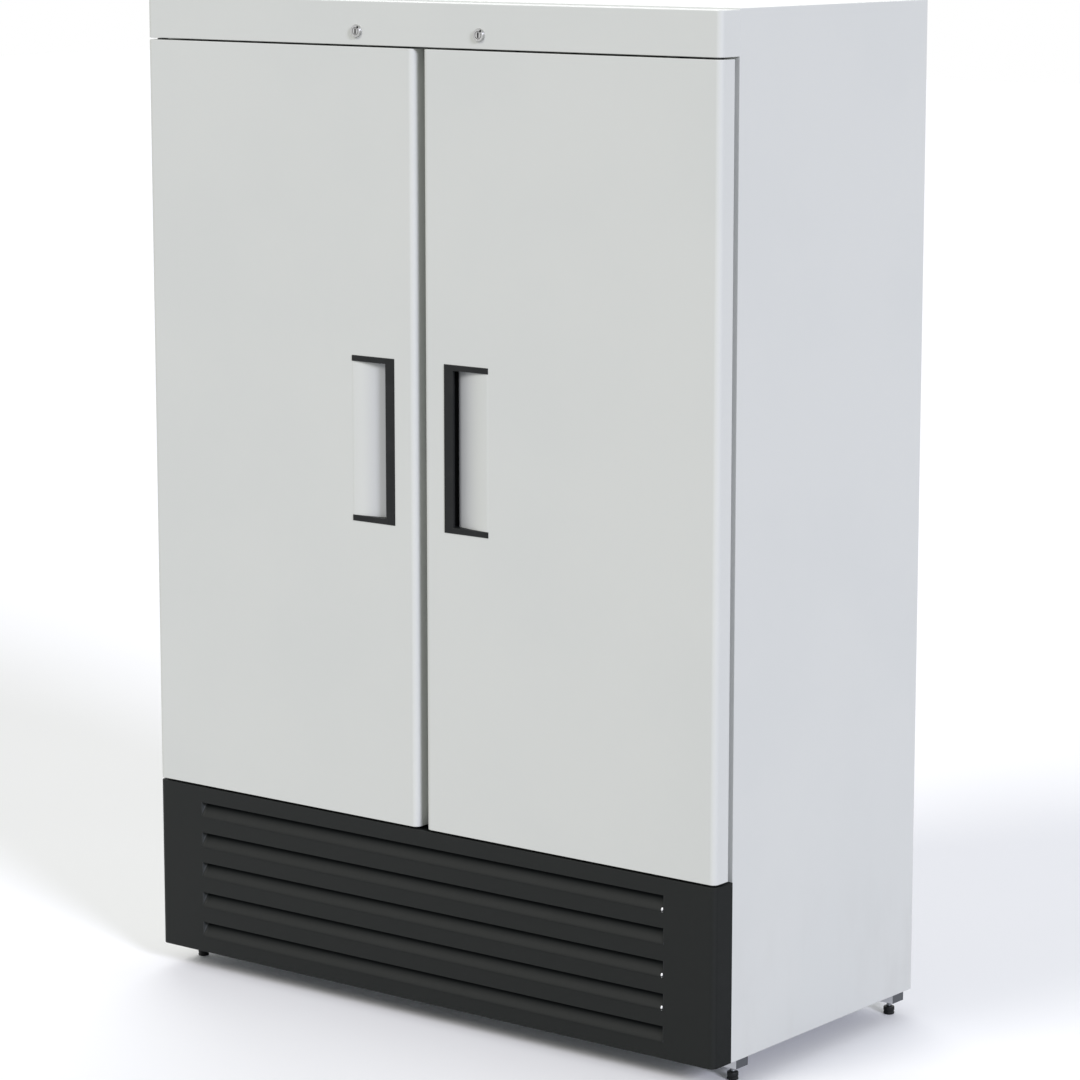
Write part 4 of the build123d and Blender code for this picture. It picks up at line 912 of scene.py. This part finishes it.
can = dict(
    x=-350.0, depth=320.0, radius=82.0, low=24.0, seam=112.0, top=196.0,
    pan=26.0, panSteps=8, lip=((0, 0), (2.6, 0.6), (2.8, 4.4), (-1, 5), (-1, 26)),
    domeStart=30.0, domePower=0.72, sides=44, plateX=115.0, plateDepth=80.0, plate=4.0,
    boxHalf=21.0, boxHeights=(72.0, 148.0), stubRadius=7.0, stubLength=26.0, stubRoot=12.0,
)


def canProfile():
    # radius over height: a rounded lower pan, a seam lip, and a dome whose radius falls along an ellipse
    radius, low, seam, top, pan = can["radius"], can["low"], can["seam"], can["top"], can["pan"]
    turn = quarter(can["panSteps"])
    bowl = [(radius - pan + pan * np.sin(t), low + pan - pan * np.cos(t)) for t in turn]
    lip = [(radius + out, seam + up) for out, up in can["lip"]]
    domeLow = seam + can["domeStart"]
    dome = [((radius - 1) * np.cos(t) ** can["domePower"], domeLow + (top - domeLow) * np.sin(t))
            for t in turn]
    return [(pole, low)] + bowl + lip + dome[:-1] + [(pole, top)]


def compressorParts():
    # the can on its plate, the terminal box before it and two stubs for the pipes beside it
    x, depth, low, radius = can["x"], can["depth"], can["low"], can["radius"]
    parts = [turned(canProfile(), at(x, depth, 0), "z", can["sides"])]
    parts.append(bar(at(x - can["plateX"], depth - can["plateDepth"], low - can["plate"]),
                     at(x + can["plateX"], depth + can["plateDepth"], low)))
    parts.append(bar(at(x - can["boxHalf"], depth - radius - can["boxHalf"], can["boxHeights"][0]),
                     at(x + can["boxHalf"], depth - radius / 2, can["boxHeights"][1])))
    for rise in (can["stubLength"], -can["stubLength"]):
        height = can["seam"] + rise
        parts.append(rod(at(x + radius - can["stubRoot"], depth, height),
                         at(x + radius + can["stubLength"], depth, height), can["stubRadius"] * mm, 14))
    return parts


piece("compressorCan", compressorParts(), "enamel", "compressor", bevel=0.8 * mm)
mounting = dict(
    inset=12.0,
    rubber=((pole, 2), (11, 2), (12, 3), (12, 7), (10.2, 8.6), (10.2, 12), (12, 13.6), (12, 19), (11, 20),
            (pole, 20)),
    nut=((pole, 24), (8, 24), (8, 25.4), (5.5, 25.8), (5.5, 30), (3, 31), (3, 35), (pole, 35)),
)
grommets = []
for signX, signDepth in ((-1, -1), (-1, 1), (1, -1), (1, 1)):
    place = at(can["x"] + signX * (can["plateX"] - mounting["inset"]),
               can["depth"] + signDepth * (can["plateDepth"] - mounting["inset"]), 0)
    grommets += [turned(mounting["rubber"], place, "z", 18), turned(mounting["nut"], place, "z", 12)]
piece("compressorGrommets", grommets, "dull")

pipe = dict(radius=4.0, bend=16.0, upper=138.0, lower=86.0, coilDepth=121.0,
            riserDepth=591.0, riserTop=329.8,
            x=(-242.0, -206.0, 180.0, 6.0, -186.0, -204.0))      # stub, hot, coil, liquid, outlet, suction
drier = dict(
    depth=420.0, height=60.0, left=-150.0, right=-30.0,
    profile=((4.2, -150), (5, -149), (5.4, -143), (9, -139), (13.5, -134), (15, -128), (15, -52),
             (13.5, -46), (9, -41), (5.4, -37), (5, -31), (4.2, -30)),
)


def pipeRuns():
    # hot gas to the coil, liquid to the drier, liquid up to the cooling unit, and suction back from it
    canDepth, coil, riser, mid = can["depth"], pipe["coilDepth"], pipe["riserDepth"], drier["depth"]
    upper, lower, level, top = pipe["upper"], pipe["lower"], drier["height"], pipe["riserTop"]
    stub, hot, out, liquid, outlet, suction = pipe["x"]
    runs = [
        [(stub, canDepth, upper), (hot, canDepth, upper), (hot, coil, upper), (out, coil, upper)],
        [(drier["right"], mid, level), (liquid, mid, level), (liquid, coil, level), (out, coil, level)],
        [(drier["left"], mid, level), (outlet, mid, level), (outlet, riser, level), (outlet, riser, top)],
        [(stub, canDepth, lower), (suction, canDepth, lower), (suction, riser, lower), (suction, riser, top)],
    ]
    return [tube(rounded(placed(run), pipe["bend"] * mm), pipe["radius"] * mm) for run in runs]


piece("copperRuns", pipeRuns(), "copper", "refrigerant_pipes", weld=False)
drierParts = [turned(drier["profile"], at(0, drier["depth"], drier["height"]), "x", 20, capped=False)]
piece("filterDrier", drierParts, "copper", "filter_drier")

coils = dict(
    condenser=dict(x=(194.0, 546.0), depth=(97.0, 145.0), height=(31.0, 288.8), pitch=3.2,
                   plates=(188.0, 552.0), node="condenser_coil", rows=10, ranks=2),
    cooler=dict(x=(-292.0, 292.0), depth=(441.0, 583.9), height=(1750.0, 1880.0), pitch=4.8,
                plates=(-297.0, 297.0), node="evaporator_coil", rows=4, ranks=4),
)
coilMake = dict(fin=0.25, wave=0.35, waves=2, finSteps=7, plate=0.8, plateReach=1.0,
                tubeRadius=4.0, rowInset=14.0, rankInset=13.0, bendStart=3.0, bendSteps=9)


def finPack(look):
    # thin upright fins side by side, each a little wavy: x bends with a sine of the depth
    d0, d1 = look["depth"]
    depths = np.linspace(d0, d1, coilMake["finSteps"])
    wave = coilMake["wave"] * np.sin((depths - d0) / (d1 - d0) * coilMake["waves"] * 2 * np.pi)
    heights = np.array(look["height"])[:, None]
    return [surface(x + wave, depths, heights) for x in np.arange(*look["x"], look["pitch"])]


def returnBends(x, outward, depths, heights):
    # half circles at one end of a coil, from each tube to the next one above it
    turn = np.linspace(-np.pi / 2, np.pi / 2, coilMake["bendSteps"])
    parts = []
    for depth in depths:
        for first, second in zip(heights[::2], heights[1::2]):
            middle, half = (first + second) / 2, (second - first) / 2
            across = x + outward * (coilMake["bendStart"] + half * np.cos(turn))
            path = [(x, depth, first), (x, depth, second)]
            path[1:1] = [(bendX, depth, middle + half * math.sin(t)) for bendX, t in zip(across, turn)]
            parts.append(tube(placed(path), coilMake["tubeRadius"] * mm, 8))
    return parts


for kind, look in coils.items():
    piece(kind + "Fins", finPack(look), "fin", look["node"], weld=False, thickness=coilMake["fin"] * mm)
    (low, high), (d0, d1), half = look["height"], look["depth"], coilMake["plate"]
    reach = coilMake["plateReach"]
    plates = [bar(at(x - half, d0 - reach, low - half), at(x + half, d1 + reach, high + half))
              for x in look["plates"]]
    piece(kind + "EndPlates", plates, "zinc", look["node"], covers=False, bevel=0.3 * mm)
    heights = np.linspace(low + coilMake["rowInset"], high - coilMake["rowInset"], look["rows"])
    depths = np.linspace(d0 + coilMake["rankInset"], d1 - coilMake["rankInset"], look["ranks"])
    left, right = look["plates"]
    tubes = returnBends(left, -1, depths, heights) + returnBends(right, 1, depths, heights[1:-1])
    tubes += [rod(at(left, depth, height), at(right, depth, height), coilMake["tubeRadius"] * mm)
              for depth in depths for height in heights]
    piece(kind + "Tubes", tubes, "copper", weld=False)

hose = dict(x=62.0, depth=613.0, low=28.0, high=1739.0, outer=8.0, inner=5.5, pitch=9.0,
            pitchSteps=5, cuff=22.0, ribStart=24.0, ribInset=0.6, swing=0.55)


def hoseProfile():
    # corrugated vinyl: the radius swings with a sine of the height, and both ends are plain cuffs
    low, high, outer, inner = hose["low"], hose["high"], hose["outer"], hose["inner"]
    heights = np.arange(low + hose["ribStart"], high - hose["ribStart"], hose["pitch"] / hose["pitchSteps"])
    swing = hose["swing"] * np.sin((heights - heights[0]) / hose["pitch"] * 2 * np.pi)
    ribs = [(outer - hose["ribInset"] + s, h) for s, h in zip(swing, heights)]
    cuff = [(outer, high - hose["cuff"]), (outer, high), (inner, high), (inner, low)]
    return [(inner, low), (outer, low), (outer, low + hose["cuff"])] + ribs + cuff


hoseParts = [turned(hoseProfile(), at(hose["x"], hose["depth"], 0), "z", 16)]
piece("corrugatedHose", hoseParts, "hose", "drain_hose", smooth=70)

# an arm is a block from its low to its high corner: x and height from the motor's axle, and depth
motors = dict(
    cooler=dict(x=(-165.0, 165.0), height=1811.5, start=360.0, end=394.0, radius=20.0,
                node="evaporator_fan_motors", arms=(((-4, 386, -69.5), (4, 394, 70.9)),)),
    condenser=dict(x=(370.0,), height=159.9, start=188.0, end=244.0, radius=34.0,
                   node="condenser_fan_motor",
                   arms=(((-95, 198, -6), (95, 202, 6)), ((-6, 198.1, -95), (6, 201.9, 95)))),
)
motorMake = dict(softShare=0.22, bellSteps=6, grooves=6, grooveReach=3.0, grooveDeep=1.1,
                 grooveHalf=(1.3, 0.7), bossShares=(0.32, 0.3), bossDip=0.4, axle=3.2, sides=36)


def motorShell(look, x):
    # end bells that round off along a quarter circle, cooling grooves round the wall, and a bearing boss
    start, end, radius = look["start"], look["end"], look["radius"]
    turn = quarter(motorMake["bellSteps"])
    soft = radius * motorMake["softShare"]
    reach = soft + motorMake["grooveReach"]
    outer, inner = motorMake["grooveHalf"]
    floor = radius - motorMake["grooveDeep"]
    profile = [(motorMake["axle"], start)]
    profile += [(radius - soft + soft * np.sin(t), start + soft - soft * np.cos(t)) for t in turn]
    for place in np.linspace(start + reach, end - reach, motorMake["grooves"]):
        profile += [(radius, place - outer), (floor, place - inner),
                    (floor, place + inner), (radius, place + outer)]
    profile += [(radius - soft + soft * np.cos(t), end - soft + soft * np.sin(t)) for t in turn]
    rim, face = (radius * share for share in motorMake["bossShares"])
    profile += [(rim, end), (face, end - motorMake["bossDip"]), (pole, end - motorMake["bossDip"])]
    return turned(profile, at(x, 0, look["height"]), "y", motorMake["sides"])


for kind, look in motors.items():
    piece(kind + "Motors", [motorShell(look, x) for x in look["x"]], "enamel", look["node"])
    arms = [bar(*placed(np.array(corners) + (x, 0, look["height"])))
            for x in look["x"] for corners in look["arms"]]
    piece(kind + "MotorArms", arms, "zinc", bevel=0.4 * mm)
print("machinery")


# lock details: profiles are radius over depth, from the fascia's front

lock = dict(
    bezel=((6.6, 20), (9.6, 20), (9.6, 0.02), (12.5, 0), (12.5, -1.3), (12.1, -1.7), (11.9, -3.9),
           (11.3, -4.8), (7.7, -4.8), (7.5, -4.7), (7.4, -4.0), (6.6, -4.0), (6.6, 20)),
    nut=((9.7, 1.2), (14.0, 1.2), (14.0, 5.2), (9.7, 5.2), (9.7, 1.2)),
    groove=((6.62, -4.06), (7.38, -4.06), (7.38, -3.96), (6.62, -3.96), (6.62, -4.06)),
    dimple=((pole, -4.97), (2.2, -4.95), (2.2, -4.8), (pole, -4.8)), dimpleAt=(5.9, 7.7),
    keyHalf=(1.6, 5.2), keyDepths=(-4.72, -1.1),
)
bezels, nuts, shadeMarks = [], [], []
for side, sign in (("right", 1), ("left", -1)):
    x, height = sign * lockX, lockHeight
    place = at(x, 0, height)
    bezels.append(turned(lock["bezel"], place, "y", 56))
    nuts.append(turned(lock["nut"], place, "y", 6))
    across, up = lock["dimpleAt"]
    # painted shade: a near-black ring in the bezel's groove and a near-black disc at the dimple
    shadeMarks += [turned(lock["groove"], place, "y", 40),
             turned(lock["dimple"], at(x + across, 0, height + up), "y", 14)]
    # painted shade: a near-black block fills the keyway
    (half, tall), (front, back) = lock["keyHalf"], lock["keyDepths"]
    keySlot = bar(at(x - half, front, height - tall), at(x + half, back, height + tall))
    piece(side + "KeySlot", [keySlot], "shadeBlack", body=side + "_lock")
piece("lockBezels", bezels, "lock", "lock_housings")
piece("lockNuts", nuts, "zinc", bevel=0.3 * mm)
piece("lockShadeMarks", shadeMarks, "shadeBlack")
print("details")


# studio

studio = dict(
    cameraPlace=(4.64782, -5.86845, 2.22221), cameraWay=(-0.60904746, 0.77427589, -0.17192453),
    camera=dict(lens=127.49, shift_x=-0.0005, shift_y=0.0016, sensor_width=36, clip_end=100),
    suns=dict(      # the way it shines, strength, spread in degrees and colour
        keyLight=((0.26, 0.74, -0.62), 1.2, 24, (1.0, 0.975, 0.915)),
        sideLight=((-0.86, 0.33, -0.38), 2.09, 14, (0.833, 0.84, 1.0)),
        backLight=((0.5, -0.62, -0.6), 0.9, 40, (0.98, 0.99, 1.0)),
    ),
    roomColour=(0.955, 0.98, 1.0, 1.0), ambient=0.48,
    floorReach=30.0, floorSweep=(1.5, 2), floorUnseen=(0.42, 0.42, 0.42, 1.0),
    floorTones=((0.96, 0.96, 0.96, 1.0), (0.98, 0.98, 0.98, 1.0)),
)


def aimed(name, data, way):
    made = linked(name, data)
    made.rotation_euler = Vector(way).to_track_quat("-Z", "Y").to_euler()
    return made


def makeCamera():
    data = fitted(bpy.data.cameras.new("photoView"), **studio["camera"])
    camera = aimed("photoView", data, studio["cameraWay"])
    camera.location = studio["cameraPlace"]
    bpy.context.scene.camera = camera


def makeLights():
    for name, (way, strength, spread, colour) in studio["suns"].items():
        data = bpy.data.lights.new(name, "SUN")
        aimed(name, fitted(data, energy=strength, angle=math.radians(spread), color=colour), way)
    # the room lights softly, and is white where the eye or a reflection meets it
    room = Finish("paleRoom", "World")
    seen, mirrored, through = (room.add("LightPath", output=f"Is {kind} Ray")
                               for kind in ("Camera", "Glossy", "Transmission"))
    soft = room.add("Background", {"Color": studio["roomColour"], "Strength": studio["ambient"]})
    white = room.add("Background", {"Color": (1, 1, 1, 1), "Strength": 1.0})
    factor = seen.larger(mirrored).larger(through)
    bpy.context.scene.world = room.shown(room.add("MixShader", {0: factor, 1: soft, 2: white}))


def makeFloor():
    reach = studio["floorReach"]
    corners = [(x, y, 0) for x, y in boxOf(-reach, reach, -reach, reach)]
    mesh = bpy.data.meshes.new("paleFloor")
    mesh.from_pydata(corners, [], [(0, 1, 2, 3)])
    finish = Finish("paleFloor")
    seen, mirrored = (finish.add("LightPath", output=f"Is {kind} Ray") for kind in ("Camera", "Glossy"))
    pale = finish.mix(finish.noise(*studio["floorSweep"]), *studio["floorTones"])
    # white to the eye, but little light thrown back
    colour = finish.mix(seen.larger(mirrored), studio["floorUnseen"], pale)
    mesh.materials.append(finish.done({"specular": 0.0}, colour, 0.8))
    linked("paleFloor", mesh)


makeCamera()
makeLights()
makeFloor()
bpy.context.scene.view_settings.view_transform = "Standard"
print("studio")
